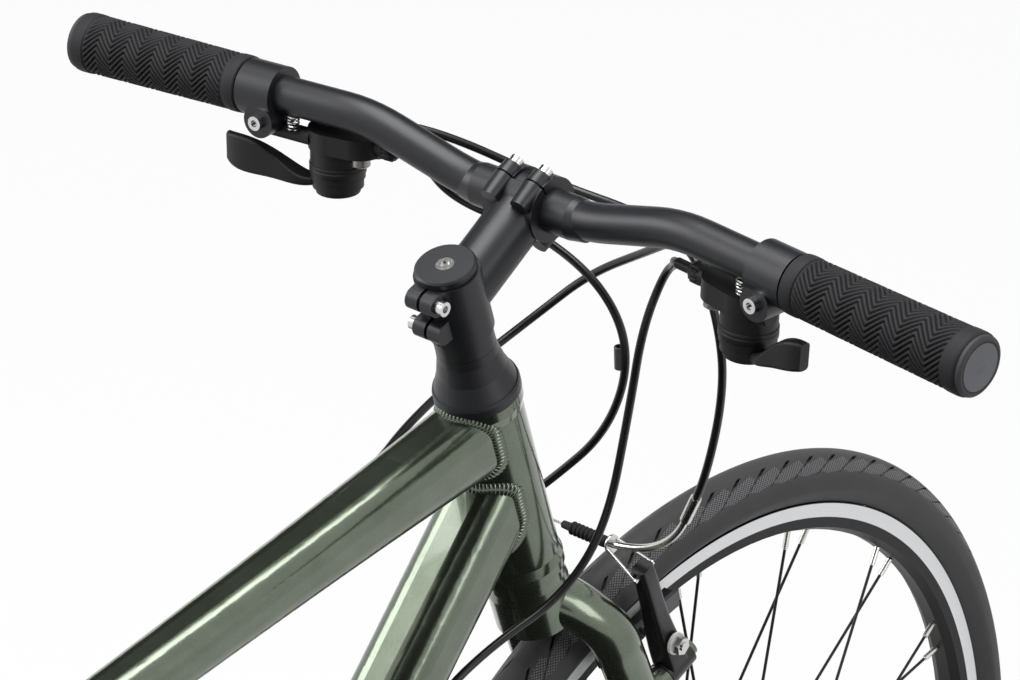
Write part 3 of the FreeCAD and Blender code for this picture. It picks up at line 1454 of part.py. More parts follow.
def front_derailleur_cage():
    """Two curved side plates joined over and behind the chain, on a swinging arm."""
    faces = []
    for y in (5.6, -7.2):
        pts = []
        for k in range(11):
            a = rad(78 + 7.6 * k)
            pts.append(Vector(math.cos(a) * CAGE_R1, 0, math.sin(a) * CAGE_R1))
        for k in range(11):
            a = rad(154 - 7.6 * k)
            r = CAGE_R0 - (8 if k < 4 and y > 0 else 0)
            pts.append(Vector(math.cos(a) * r, 0, math.sin(a) * r))
        side = plate([BB + p for p in pts], CHAIN_Y + y, CHAIN_Y + y + 1.6)
        faces.append(side)
    body = faces[0].fuse(faces[1])
    for a in (86.0, 152.0):
        r = CAGE_R1 - 2.5
        p = BB + Vector(math.cos(rad(a)) * r, 0, math.sin(rad(a)) * r)
        body = body.fuse(rod(p + Y * (CHAIN_Y - 7.2), p + Y * (CHAIN_Y + 7.2), 2.5))
    top = FD_HINGE
    arm = block(top, Vector(1, 0, 0), Y, -10.0, 10.0, -4.5, 2.6, -5, 2.6).fuse(
        rod(top - Vector(11, 0, 0), top + Vector(11, 0, 0), 4.6))
    link = plate([top + Vector(-10, 0, 0), top + Vector(10, 0, 0), BB + Vector(-8, 0, CAGE_R1 - 6),
                  BB + Vector(-34, 0, CAGE_R1 - 12)], CHAIN_Y + 5.6, CHAIN_Y + 7.2)
    bridge = block(top, Vector(1, 0, 0), Y, -10, 10, CHAIN_Y + 5.6 - top.y, 2, -4.6, -1.6)
    body = body.fuse(arm).fuse(link).fuse(bridge)
    body = body.cut(rod(top - Vector(30, 0, 0), top + Vector(30, 0, 0), 2.56))
    return [max(body.removeSplitter().Solids, key=lambda s: s.Volume)]


def rear_mech():
    """Hanger knuckle, two links and the cage knuckle of the rear derailleur."""
    yh = -(REAR_SPACING / 2 + 6)
    a = Vector(HANGER.x, yh, HANGER.z)
    knuckle = rod(a, a - Y * 14, 11.0).fuse(rod(a - Y * 14, a - Y * 18, 7.0))
    knuckle = knuckle.fuse(rod(a + Y * 6.0, a, 4.9))
    g = Vector(GUIDE.x, CHAIN_Y - 8.0, GUIDE.z)
    lower = rod(g - Y * 0.4, g - Y * 17, 13.0)
    ud = unit(Vector(g.x - a.x, 0, g.z - a.z))
    links = []
    for dx, y0 in ((-1, -6.0), (1, -6.0)):
        n = Vector(-ud.z, 0, ud.x) * (5.5 * dx)
        p = a + n + Y * (y0 - 1.5)
        q = Vector(g.x, g.y - 8.0, g.z) + n
        links.append(rod(p, q, 3.6).cut(knuckle).cut(lower))
    pin = rod(g - Y * 0.4, g + Y * 17.0, 3.0)
    lower = lower.fuse(pin)
    bars = [max(s.Solids, key=lambda q: q.Volume) for s in links]
    return [knuckle.removeSplitter(), lower.removeSplitter()] + bars


def derailleur_bodies():
    return front_mech() + rear_mech()


def cage_plate(y0, y1):
    body = arm_plate(GUIDE, TENSION, 11, 10, y0, y1)
    return body.cut(rod(Vector(GUIDE.x, y0 - 3, GUIDE.z), Vector(GUIDE.x, y1 + 3, GUIDE.z), 3.06))


def rear_derailleur_cage():
    out = cage_plate(CHAIN_Y - 7.4, CHAIN_Y - 5.4).fuse(cage_plate(CHAIN_Y + 5.4, CHAIN_Y + 7.4))
    t = Vector(TENSION.x, CHAIN_Y, TENSION.z)
    pin = rod(t - Y * 7.4, t + Y * 7.4, 3.0)
    return [out.fuse(pin).removeSplitter()]


def jockey(centre, phase):
    body = sprocket(centre, JOCKEY_T, CHAIN_Y, 2.0, phase, 3.06)
    for s in (1, -1):
        h = Vector(centre.x, CHAIN_Y + s * 1.0, centre.z)
        body = body.fuse(ring(h, Y * s, 7.0, 3.06, 2.2))
    return [body.removeSplitter()]


def control_cables():
    """Housings from the bar to the frame and the bare wires along it."""
    out = []
    rear = Brake(True)
    end, d = rear.ferrule_end()
    bd = unit(B_REAR - B_FRONT)
    ay = RELEASE_AT[0] + POD_SHIFT[1] - 26.05
    a_pts = [under(1, ay, THUMB_AT[1], -22), under(1, ay - 16, THUMB_AT[1], -22),
             Vector(374, 66, 924), Vector(388, 15, 916), Vector(389, -34, 896), Vector(392, -52, 858),
             Vector(391, -38, 806), Vector(386, 0, 762), Vector(368, 36, 724), Vector(322, 36, 697),
             A_FRONT - DT_DIR * 24, A_FRONT + DT_DIR * 4]
    b_pts = [lever(-1, CLAMP_Y - 42.05, 20, 0), lever(-1, CLAMP_Y - 60, 20, 0),
             Vector(388, -94, 948), Vector(412, -45, 914), Vector(418, 0, 884), Vector(408, 30, 852),
             Vector(372, 47, 828), Vector(310, 42, 815), B_FRONT - bd * 26, B_FRONT + bd * 4]
    cy = RELEASE_AT[0] + POD_SHIFT[-1] - 26.05
    c_pts = [under(-1, cy, THUMB_AT[1], -22), under(-1, cy - 16, THUMB_AT[1], -22),
             Vector(386, -86, 929), Vector(396, -70, 915), Vector(388, -62, 880), Vector(387, -56, 830),
             Vector(381, -47, 752), Vector(356, -36, 712), Vector(315, -18, 690),
             C_FRONT - DT_DIR * 18, C_FRONT + DT_DIR * 4]
    shift = CAP - Vector(290.5, 0, 934.1)
    for pts in (a_pts, b_pts, c_pts):
        moved = pts[:2] + [p + shift for p in pts[2:-2]] + pts[-2:]
        out.append(swept(moved, HOUSING_R))
    out.append(rod(B_FRONT + bd * 5.2, B_REAR - bd * 5.2, WIRE_R))
    b_rear = [B_REAR - bd * 4.0, B_REAR + bd * 40, SS_TOP + Vector(5, 58, 52), end + d * 45, end]
    out.append(swept(b_rear, HOUSING_R))
    fd = FD_HINGE + Vector(0, -1, -6.2)
    a_run = [A_FRONT + DT_DIR * 5.2, GUIDE_A + Vector(20, 0, 0), GUIDE_A - Vector(26, 0, 0),
             BB + Vector(-40, 0, 20), BB + Vector(-46, -8, 45), fd]
    out.append(swept(a_run, WIRE_R, 8.0))
    c_run = [C_FRONT + DT_DIR * 5.2, GUIDE_C + Vector(20, 0, 0), GUIDE_C - Vector(30, 0, 0),
             C_REAR - C_RUN * 5.2]
    out.append(swept(c_run, WIRE_R, 8.0))
    mech = Vector(HANGER.x - 12.6, -(REAR_SPACING / 2 + 14), HANGER.z - 2)
    loop = [C_REAR - C_RUN * 4.0, C_REAR + C_RUN * 40, REAR + Vector(60, -92, -26),
            REAR + Vector(-30, -104, -14), REAR + Vector(-100, -98, -8), REAR + Vector(-104, -86, -62),
            REAR + Vector(-52, -82, -56), mech]
    out.append(swept(loop, HOUSING_R))
    return out + rear.cable()


def front_brake_cable():
    brake = Brake(False)
    end, d = brake.ferrule_end()
    lead = [lever(1, CLAMP_Y - 42.05, 20, 0), lever(1, CLAMP_Y - 60, 20, 0)]
    shift = CAP - Vector(290.5, 0, 934.1)
    pts = [Vector(394, 92, 952), Vector(428, 40, 926), Vector(436, -30, 922),
           Vector(404, -88, 926), Vector(404, -106, 880), Vector(413, -101, 836)]
    moved = lead + [p + shift for p in pts] + [end + d * 16, end]
    return [swept(moved, HOUSING_R)] + brake.cable()


NODES = {
    "head_tube": head_tube,
    "top_tube": top_tube,
    "down_tube": down_tube,
    "seat_tube": seat_tube,
    "bottom_bracket_shell": bottom_bracket_shell,
    "chainstays": chainstays,
    "seatstays": seatstays,
    "rear_dropouts": rear_dropouts,
    "frame_fittings": frame_fittings,
    "bearing_cups": bearing_cups,
    "seat_clamp": seat_clamp,
    "seatpost": seatpost,
    "saddle_base": saddle_base,
    "saddle_cover": saddle_cover,
    "rear_axle": rear_axle,
    "derailleur_bodies": derailleur_bodies,
    "chain": chain,
    "control_cables": control_cables,
    "fork_steerer": fork_steerer,
    "fork_crown": fork_crown,
    "fork_blades": fork_blades,
    "headset_cover": headset_cover,
    "stem": stem,
    "stem_faceplate": stem_faceplate,
    "top_cap": top_cap,
    "cockpit_bolts": cockpit_bolts,
    "handlebar": handlebar,
    "grips": grips,
    "bar_end_plugs": bar_end_plugs,
    "brake_brackets": brake_brackets,
    "shifter_pods": shifter_pods,
    "front_axle": front_axle,
    "front_brake_cable": front_brake_cable,
    "brake_lever_left": lambda: brake_lever(1),
    "brake_lever_right": lambda: brake_lever(-1),
    "thumb_lever_left": lambda: thumb_lever(1),
    "thumb_lever_right": lambda: thumb_lever(-1),
    "release_lever_left": lambda: release_lever(1),
    "release_lever_right": lambda: release_lever(-1),
    "front_brake_arm_left": lambda: Brake(False).arm(1),
    "front_brake_arm_right": lambda: Brake(False).arm(-1),
    "rear_brake_arm_left": lambda: Brake(True).arm(1),
    "rear_brake_arm_right": lambda: Brake(True).arm(-1),
    "front_tyre": lambda: tyre(FRONT),
    "front_rim": lambda: rim(FRONT),
    "front_spokes": lambda: spokes(FRONT, *FRONT_FLANGE),
    "front_hub": front_hub,
    "rear_tyre": lambda: tyre(REAR),
    "rear_rim": lambda: rim(REAR),
    "rear_spokes": lambda: spokes(REAR, *REAR_FLANGE),
    "rear_hub": rear_hub,
    "cassette": cassette,
    "chainrings": chainrings,
    "crank_arms": crank_arms,
    "pedal_left": lambda: pedal(1),
    "pedal_right": lambda: pedal(-1),
    "front_derailleur_cage": front_derailleur_cage,
    "rear_derailleur_cage": rear_derailleur_cage,
    "jockey_upper": lambda: jockey(GUIDE, PHASES[2]),
    "jockey_lower": lambda: jockey(TENSION, PHASES[1]),
}

os.makedirs("parts", exist_ok=True)
for name, make in NODES.items():
    Part.makeCompound(make()).exportStep("parts/" + name + ".step")
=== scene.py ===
import json
import math

import bmesh
import bpy
from mathutils import Matrix, Vector

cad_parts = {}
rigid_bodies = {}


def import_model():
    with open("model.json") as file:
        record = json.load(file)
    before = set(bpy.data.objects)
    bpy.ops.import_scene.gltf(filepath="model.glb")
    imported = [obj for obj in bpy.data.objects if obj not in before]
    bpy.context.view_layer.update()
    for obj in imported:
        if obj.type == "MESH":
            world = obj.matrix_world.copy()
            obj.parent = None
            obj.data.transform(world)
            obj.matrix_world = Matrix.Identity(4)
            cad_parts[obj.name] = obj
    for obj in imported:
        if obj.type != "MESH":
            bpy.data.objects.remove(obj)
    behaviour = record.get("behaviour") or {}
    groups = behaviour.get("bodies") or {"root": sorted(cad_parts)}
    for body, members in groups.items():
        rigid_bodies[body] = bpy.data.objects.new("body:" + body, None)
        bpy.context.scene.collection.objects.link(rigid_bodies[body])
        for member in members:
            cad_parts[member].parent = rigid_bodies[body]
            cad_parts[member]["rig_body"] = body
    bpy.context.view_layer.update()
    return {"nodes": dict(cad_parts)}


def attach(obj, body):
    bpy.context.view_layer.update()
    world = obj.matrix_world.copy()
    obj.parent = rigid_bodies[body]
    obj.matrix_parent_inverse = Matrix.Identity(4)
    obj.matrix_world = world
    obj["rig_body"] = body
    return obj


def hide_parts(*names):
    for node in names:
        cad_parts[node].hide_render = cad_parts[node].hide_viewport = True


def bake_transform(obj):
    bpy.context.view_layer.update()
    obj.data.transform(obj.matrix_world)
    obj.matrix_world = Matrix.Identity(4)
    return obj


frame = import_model()
NODES = frame["nodes"]

# Layout of the bike in metres, as in the part's source; a line is a point and a way
ACROSS = Vector((0.0, 1.0, 0.0))
MIRRORS = {"left": Vector((1.0, 1.0, 1.0)), "right": Vector((1.0, -1.0, 1.0))}
AXLES = {"front": Vector((0.538, 0.0, 0.349)), "rear": Vector((-0.538, 0.0, 0.349))}
BRACKET = Vector((-0.102828, 0.0, 0.284))
SHELL_LINE = (BRACKET, ACROSS)
STEERER = (Vector((0.29052, 0.0, 0.934215)), Vector((-0.317305, 0.0, 0.948324)))
SEAT_LINE = (BRACKET, Vector((-0.284015, 0.0, 0.95882)))
TOP_TUBE = (Vector((0.328279, 0.0, 0.821364)), Vector((-0.987688, 0.0, -0.156434)))
DOWN_TUBE = (Vector((0.341289, 0.0, 0.782483)), Vector((-0.665217, 0.0, -0.74665)))
STAY_WAY = Vector((-0.989027, 0.0, 0.147727))
STAY_SHIFT = Vector((0.0, 0.027, 0.0))
HEAD_R = 0.0235
SEAT_R = 0.01745
SHELL_R = 0.0205
HOUSING_R = 0.0025
WIRE_R = 0.0008
GRIP_INNER = Vector((0.3449, 0.197, 0.9667))
GRIP_OUTER = Vector((0.3329, 0.317, 0.9639))
GRIP_WAY = (GRIP_OUTER - GRIP_INNER).normalized()
GRIP_LENGTH = 0.1206
BAR_R = 0.01113
TRACK_INNER = (0.3074, 0.3076)
TRACK_OUTER = (0.317, 0.3168)
TRACK_SIDE = (0.0106, 0.011)
NIPPLE_START = (0.284, 0.2846)
SADDLE_AT = Vector((-0.2812, 0.0, 0.8861))
MERGE_GAP = 2e-6

# Angles in degrees past which an edge shades as hard
TURNED_EDGE = 35.0
CABLE_EDGE = 40.0
SOLID_EDGE = 32.0

# Tread: slanted sipes, each with a wider notch; a pair says where a cut begins and where it is full
TYRE_MIDDLE = 0.33
SIPES = 84
SIPE_SLANT = 1.6
SIPE_EDGE = (0.045, 0.02)
SIPE_CROWN = (0.38, 0.44)
SIPE_WALL = (1.12, 1.02)
NOTCH_EDGE = (0.085, 0.05)
NOTCH_CROWN = (0.34, 0.38)
NOTCH_WALL = (0.56, 0.5)


def shade(red, green, blue):
    """A colour as it looks on screen, 0 to 255, in the light units that the shader takes."""
    linear = []
    for part in (red, green, blue):
        part = part / 255.0
        linear.append(part / 12.92 if part <= 0.04045 else ((part + 0.055) / 1.055) ** 2.4)
    return (*linear, 1.0)


def operation(kind, swapped=False):
    """A socket's method that puts a math node of one kind on the socket's board."""
    def method(self, *others):
        terms = (*others, self) if swapped else (self, *others)
        return self.board.node("Math", dict(enumerate(terms)), {"operation": kind})
    return method


class Socket:
    """One output of a node, with the arithmetic that the finishes and shape rules use."""

    __add__ = operation("ADD")
    __radd__ = operation("ADD", swapped=True)
    __sub__ = operation("SUBTRACT")
    __rsub__ = operation("SUBTRACT", swapped=True)
    __mul__ = operation("MULTIPLY")
    __truediv__ = operation("DIVIDE")
    __pow__ = operation("POWER")
    __abs__ = operation("ABSOLUTE")
    least = operation("MINIMUM")
    most = operation("MAXIMUM")
    wave = operation("SINE")
    part = operation("FRACT")
    bearing = operation("ARCTAN2")

    def __init__(self, board, socket):
        self.board = board
        self.socket = socket

    def of(self, name):
        return Socket(self.board, self.socket.node.outputs[name])

    def rise(self, low, high):
        """0 below low, 1 above high and a smooth step between; low may be the larger."""
        bounds = {0: self, 1: low, 2: high, 3: 0.0, 4: 1.0}
        return self.board.node("MapRange", bounds, {"interpolation_type": "SMOOTHSTEP"})


class Board:
    """A node tree that is filled one node at a time; a kind without "Node" in it is a shader node."""

    def __init__(self, tree):
        self.tree = tree
        self.tree.nodes.clear()

    def node(self, kind, sockets=None, settings=None, out=0):
        made = self.tree.nodes.new(kind if "Node" in kind else "ShaderNode" + kind)
        for key, value in (settings or {}).items():
            setattr(made, key, value)
        for key, value in (sockets or {}).items():
            if isinstance(value, Socket):
                self.tree.links.new(value.socket, made.inputs[key])
            else:
                made.inputs[key].default_value = value
        return Socket(self, made.outputs[out]) if len(made.outputs) else None


def from_axis(across, up):
    """Distance from the axis that two coordinates are measured from."""
    return (across * across + up * up) ** 0.5


MATERIALS = {}


class Finish(Board):
    """A surface finish on one principled shader; constants go on the shader's own sockets."""

    def __init__(self, name, constants):
        MATERIALS[name] = bpy.data.materials.new(name)
        MATERIALS[name].use_nodes = True
        super().__init__(MATERIALS[name].node_tree)
        shader = self.node("BsdfPrincipled", constants)
        self.shader = shader.socket.node
        self.node("OutputMaterial", {"Surface": shader})
        self.place = self.node("TexCoord", out="Object")

    def feed(self, name, value):
        self.tree.links.new(value.socket, self.shader.inputs[name])

    def surface(self, colour, roughness, height, depth):
        """Feeds the colour, the roughness and a relief whose height of 1 is as high as depth."""
        self.feed("Base Color", colour)
        self.feed("Roughness", roughness)
        values = {"Strength": 1.0, "Distance": depth, "Height": height}
        self.feed("Normal", self.node("Bump", values))

    def noise(self, scale, detail=2.0):
        values = {"Vector": self.place, "Scale": scale, "Detail": detail}
        return self.node("TexNoise", values)

    def cells(self, scale, out="Distance"):
        values = {"Vector": self.place, "Scale": scale}
        return self.node("TexVoronoi", values, {"feature": "F1"}, out)

    def blend(self, share, low, high):
        """Mix of two colours, each a socket or a screen colour."""
        ends = [end if isinstance(end, Socket) else shade(*end) for end in (low, high)]
        return self.node("Mix", {0: share, 6: ends[0], 7: ends[1]}, {"data_type": "RGBA"}, out=2)

    def centred(self, middle):
        """Object coordinates measured from a wheel's or plug's middle, as x, y and z."""
        moved = {"Vector": self.place, "Location": tuple(-part for part in middle)}
        spot = self.node("Mapping", moved, {"vector_type": "POINT"})
        x = self.node("SeparateXYZ", {0: spot})
        return x, x.of("Y"), x.of("Z")


class Rule(Board):
    """A geometry tree with named sizes that ends in real geometry with its finish."""

    def __init__(self, name, sizes):
        super().__init__(bpy.data.node_groups.new(name, "GeometryNodeTree"))
        face = self.tree.interface
        face.new_socket("Geometry", in_out="INPUT", socket_type="NodeSocketGeometry")
        self.sizes = sizes
        for label, value in sizes.items():
            kind = "NodeSocketInt" if isinstance(value, int) else "NodeSocketFloat"
            face.new_socket(label, in_out="INPUT", socket_type=kind)
        face.new_socket("Geometry", in_out="OUTPUT", socket_type="NodeSocketGeometry")
        self.given = self.node("NodeGroupInput", out="Geometry")

    def size(self, label):
        return self.given.of(label)

    def row_along(self, line, pitch, axes, facing, radii, lift=0.0):
        """Small round forms spaced along a line: two axes face given ways, and radii name their sizes."""
        spaced = {"Curve": line, "Length": self.size(pitch)}
        even = self.node("GeometryNodeResampleCurve", spaced, {"mode": "LENGTH"})
        raised = {"Geometry": even, "Offset": (0.0, 0.0, lift)}
        ways = {"Primary Axis": facing[0], "Secondary Axis": facing[1]}
        chosen = {"primary_axis": axes[0], "secondary_axis": axes[1]}
        scale = dict(enumerate(self.size(label) for label in radii))
        parts = {
            "Points": self.node("GeometryNodeSetPosition", raised),
            "Instance": self.node("GeometryNodeMeshIcoSphere", {"Radius": 1.0, "Subdivisions": 2}),
            "Rotation": self.node("FunctionNodeAxesToRotation", ways, chosen),
            "Scale": self.node("CombineXYZ", scale),
        }
        return self.node("GeometryNodeInstanceOnPoints", parts)

    def end(self, geometry, finish):
        solid = self.node("GeometryNodeRealizeInstances", {"Geometry": geometry})
        smooth = self.node("GeometryNodeSetShadeSmooth", {"Geometry": solid})
        values = {"Geometry": smooth, "Material": MATERIALS[finish]}
        painted = self.node("GeometryNodeSetMaterial", values)
        self.node("NodeGroupOutput", {"Geometry": painted})
        return self

    def grow(self, name, mesh):
        """Runs the tree over a start mesh and returns the finished piece as a plain mesh."""
        piece = show(name, mesh)
        modifier = piece.modifiers.new(name, "NODES")
        modifier.node_group = self.tree
        for item in self.tree.interface.items_tree:
            if item.in_out == "INPUT" and item.name in self.sizes:
                modifier[item.identifier] = self.sizes[item.name]
        keep_shape(piece)
        return piece


# Finishes

# Grained finishes: dark and light end, roughness, its spread, grain per metre, its depth, metal, specular
GRAINED = {
    "satin_black": ((22, 23, 26), (34, 35, 40), 0.4, 0.12, 1800.0, 0.00004, 0.3, 0.6),
    "gloss_black": ((18, 18, 19), (28, 28, 30), 0.3, 0.12, 1400.0, 0.00002, 0.2, 0.5),
    "moulded_black": ((17, 17, 18), (28, 28, 30), 0.5, 0.16, 2200.0, 0.00006, 0.0, 0.32),
    "brake_rubber": ((24, 24, 25), (38, 38, 39), 0.75, 0.2, 1200.0, 0.00008, 0.0, 0.35),
    "holder_grey": ((70, 70, 72), (98, 98, 101), 0.44, 0.16, 1500.0, 0.00004, 0.5, 0.5),
    "washer_white": ((196, 196, 192), (220, 220, 217), 0.5, 0.15, 1200.0, 0.00003, 0.0, 0.5),
    "bright_steel": ((186, 186, 184), (224, 224, 222), 0.22, 0.16, 900.0, 0.00002, 1.0, 0.5),
    "drive_steel": ((120, 119, 116), (168, 166, 162), 0.34, 0.2, 700.0, 0.00003, 1.0, 0.5),
    "dark_steel": ((44, 44, 45), (66, 66, 67), 0.36, 0.18, 900.0, 0.00003, 0.8, 0.5),
    "thread_grey": ((70, 70, 72), (104, 104, 106), 0.7, 0.2, 2600.0, 0.00005, 0.0, 0.5),
}


def grained(name):
    """A moulded, blasted or rubbed finish: grain of one size in colour, gloss and relief."""
    low, high, rough, spread, grain, depth, metal, specular = GRAINED[name]
    made = Finish(name, {"Metallic": metal, "Specular IOR Level": specular})
    fine = made.noise(grain, 3.0)
    broad = made.noise(grain / 40.0)
    colour = made.blend(fine * 0.5 + broad * 0.5, low, high)
    made.surface(colour, rough + (fine * 0.6 + broad * 0.4 - 0.5) * spread, fine, depth)


def green_paint():
    """Dark green metallic paint: fine flake under a clear coat with a faint orange peel."""
    clear = {"Metallic": 0.9, "Coat Weight": 0.7, "Coat Roughness": 0.02, "Coat IOR": 1.45}
    made = Finish("green_paint", clear)
    flake = made.node("SeparateColor", {0: made.cells(2400.0, "Color")})
    cloud = made.noise(45.0)
    colour = made.blend(flake * 0.35 + cloud * 0.65, (76, 84, 71), (112, 121, 106))
    made.surface(colour, 0.19 + flake * 0.03, made.noise(220.0, 1.0), 0.000004)


def grip_rubber():
    """Soft black rubber, duller down in the grooves, with painted shade that darkens the grooves."""
    made = Finish("grip_rubber", {"Specular IOR Level": 0.28})
    fine = made.noise(1600.0, 3.0)
    land = made.node("Attribute", settings={"attribute_name": "land"}, out="Fac")
    top = made.blend(fine, (25, 25, 27), (38, 38, 41))
    # Where land is 0, down in the grooves, the colour goes near-black as painted shade
    made.surface(made.blend(land, (7, 7, 8), top), 0.78 - land * 0.16 + fine * 0.08, fine, 0.00008)


def plug_finish():
    """Grey disc set in the rubber rim of the grip's end, with a dark line round it."""
    made = Finish("plug_finish", {"Specular IOR Level": 0.5})
    x, y, z = made.centred((GRIP_OUTER.x, 0.0, GRIP_OUTER.z))
    y = abs(y) - GRIP_OUTER.y
    along = x * GRIP_WAY.x + y * GRIP_WAY.y + z * GRIP_WAY.z
    radius = (x * x + y * y + z * z - along * along).most(0.0) ** 0.5
    fine = made.noise(2000.0, 3.0)
    disc = radius.rise(0.0134, 0.0131)
    line = radius.rise(0.0131, 0.0133) * radius.rise(0.0143, 0.0141)
    rim = made.blend(fine, (40, 40, 42), (56, 56, 59))
    grey = made.blend(fine, (78, 79, 84), (94, 95, 100))
    colour = made.blend(line, made.blend(disc, rim, grey), (9, 9, 10))
    made.surface(colour, 0.62 - disc * 0.22 + fine * 0.1, fine * 0.1 - line, 0.0004)


def cable_sheath():
    """Black plastic housing with a soft gloss and the faint ripple of the coil inside."""
    made = Finish("cable_sheath", {"Specular IOR Level": 0.45})
    fine = made.noise(900.0)
    colour = made.blend(fine, (13, 13, 14), (22, 22, 23))
    made.surface(colour, 0.26 + fine * 0.1, made.noise(260.0, 1.0), 0.00004)


def bare_wire():
    """Twisted steel wire: slanting strands along its length, painted lighter on their crowns and darker
    between them as painted highlight and shade.
    """
    made = Finish("bare_wire", {"Metallic": 1.0})
    x, y, z = made.centred((0.0, 0.0, 0.0))
    strands = ((x + y * 0.7 + z * 0.9) * 5200.0).wave() * 0.5 + 0.5
    # strands sets the colour as painted highlight on the strand crowns and painted shade between them
    colour = made.blend(strands, (110, 110, 110), (205, 205, 203))
    made.surface(colour, 0.24 + strands * 0.12, strands, 0.00015)


def saddle_leather():
    """Grained black cover of the saddle."""
    made = Finish("saddle_leather", {"Specular IOR Level": 0.4, "Sheen Weight": 0.1})
    pores = made.cells(700.0)
    folds = made.noise(120.0, 4.0)
    colour = made.blend(pores * 0.6 + folds * 0.4, (24, 24, 25), (44, 44, 45))
    made.surface(colour, 0.5 + pores * 0.15, pores * 0.7 + folds * 0.6, 0.00025)


def tread_cuts(off, lean, rise):
    """Shares of the thin sipe and of the wider notch at its crown end, on sockets or on numbers."""
    sipe = rise(off, *SIPE_EDGE) * rise(lean, *SIPE_CROWN) * rise(lean, *SIPE_WALL)
    notch = rise(off, *NOTCH_EDGE) * rise(lean, *NOTCH_CROWN) * rise(lean, *NOTCH_WALL)
    return sipe, notch


def tyre_rubber(name, axle):
    """Tyre rubber: paler along the cut sipes, painted shade in the notches, a knurled shoulder whose dots are
    a painted highlight, and fine rings on the side wall.
    """
    made = Finish(name, {"Specular IOR Level": 0.25})
    x, y, z = made.centred(axle)
    radius = from_axis(x, z)
    turn = z.bearing(x)
    lean = abs(y.bearing(radius - TYRE_MIDDLE))
    slant = (turn * (SIPES / math.tau) - lean * SIPE_SLANT).part()
    off = abs(slant - 0.5)
    sipe, notch = tread_cuts(off, lean, Socket.rise)
    teeth = off * 0.5
    band = (lean + teeth).rise(0.66, 0.68) * (lean - teeth * 0.4).rise(0.98, 0.96)
    knurl_radius = 0.342
    knurl_pitch = 0.0026
    rows = turn * (math.tau * knurl_radius / knurl_pitch) * 0.5
    net = (rows + lean * 30.0).wave() * (rows - lean * 30.0).wave()
    knurl = abs(net).rise(0.1, 0.45) * band
    rings = (radius * 2200.0).wave() * 0.5 + 0.5
    wall = radius.rise(0.334, 0.328) * rings
    grit = made.noise(1500.0, 3.0)
    broad = made.noise(30.0)
    # knurl lightens the knurl dots as a painted highlight; notch darkens the notches as painted shade
    light = 0.12 + grit * 0.16 + broad * 0.12 + knurl * 0.85 - band * 0.2 + sipe * 0.25 - notch * 0.9
    colour = made.blend(light.most(0.0).least(1.0), (18, 18, 19), (112, 112, 114))
    height = knurl * 0.45 + grit * 0.1 + wall * 0.06
    made.surface(colour, 0.5 + grit * 0.14 - knurl * 0.06, height, 0.0006)


def rim_finish(name, axle):
    """Black rim with a bright machined brake track on each side."""
    made = Finish(name, {"Specular IOR Level": 0.2})
    x, y, z = made.centred(axle)
    radius = from_axis(x, z)
    side = abs(y).rise(*TRACK_SIDE)
    track = radius.rise(*TRACK_INNER) * side * radius.rise(*TRACK_OUTER)
    line_pitch = 0.0009
    lines = (radius * (math.tau / line_pitch)).wave() * 0.5 + 0.5
    grain = made.noise(1200.0, 3.0)
    bright = made.blend(lines * 0.6 + grain * 0.4, (214, 215, 217), (240, 241, 243))
    black = made.blend(grain, (15, 14, 15), (25, 24, 25))
    made.feed("Metallic", track * 0.65)
    colour = made.blend(track, black, bright)
    made.surface(colour, 0.4 + grain * 0.1 + track * 0.06, lines * track + grain * 0.3, 0.00003)


def spoke_finish(name, axle):
    """Black spokes with plated nipples at the rim."""
    made = Finish(name, {})
    x, _, z = made.centred(axle)
    nipple = from_axis(x, z).rise(*NIPPLE_START)
    grain = made.noise(1500.0, 3.0)
    black = made.blend(grain, (20, 20, 21), (38, 38, 40))
    plated = made.blend(grain, (192, 190, 184), (226, 225, 220))
    made.feed("Metallic", 0.5 + nipple * 0.5)
    colour = made.blend(nipple, black, plated)
    made.surface(colour, 0.36 - nipple * 0.12 + grain * 0.08, grain, 0.00002)


def make_finishes():
    for name in GRAINED:
        grained(name)
    for finish in (green_paint, grip_rubber, plug_finish, cable_sheath, bare_wire, saddle_leather):
        finish()
    for end, axle in AXLES.items():
        tyre_rubber(end + "_tyre_rubber", axle)
        rim_finish(end + "_rim_finish", axle)
        spoke_finish(end + "_spoke_finish", axle)


# Making and placing pieces

def show(name, data):
    piece = bpy.data.objects.new(name, data)
    bpy.context.scene.collection.objects.link(piece)
    return piece


def seat_piece(piece, body, slot, *nodes):
    """Puts a finished piece on its body, in place of the solids that it stands for."""
    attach(piece, body)
    if nodes:
        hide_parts(*nodes)


def bend_piece(piece, slot, near, far, start, end, node):
    """Bakes a finished piece's placement into its mesh, in place of the node that it stands for."""
    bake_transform(piece)
    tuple(start)
    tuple(end)
    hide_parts(node)


def coated(name, mesh, *finishes):
    """Shows a mesh whose faces pick from the named finishes by their material number."""
    for finish in finishes:
        mesh.materials.append(MATERIALS[finish])
    return show(name, mesh)


def shaped(piece):
    """A plain mesh of an object as its modifiers or its curve shape it."""
    bpy.context.view_layer.update()
    return bpy.data.meshes.new_from_object(piece.evaluated_get(bpy.context.evaluated_depsgraph_get()))


def keep_shape(piece):
    """Makes what the modifiers shape the piece's own mesh."""
    mesh = shaped(piece)
    piece.modifiers.clear()
    piece.data = mesh


def mesh_of(name, form):
    """Ends a form as a mesh, without normals that came with a node."""
    mesh = bpy.data.meshes.new(name)
    form.to_mesh(mesh)
    form.free()
    worn = mesh.attributes.get("custom_normal")
    if worn is not None:
        mesh.attributes.remove(worn)
    return mesh


def rounded(mesh, degrees):
    """Shades a mesh smoothly, with hard edges where its faces turn by more than the angle."""
    for face in mesh.polygons:
        face.use_smooth = True
    mesh.set_sharp_from_angle(angle=math.radians(degrees))
    return mesh


def merged(node):
    """A node's mesh as a form whose split corners are joined."""
    form = bmesh.new()
    form.from_mesh(NODES[node].data)
    bmesh.ops.remove_doubles(form, verts=form.verts, dist=MERGE_GAP)
    return form


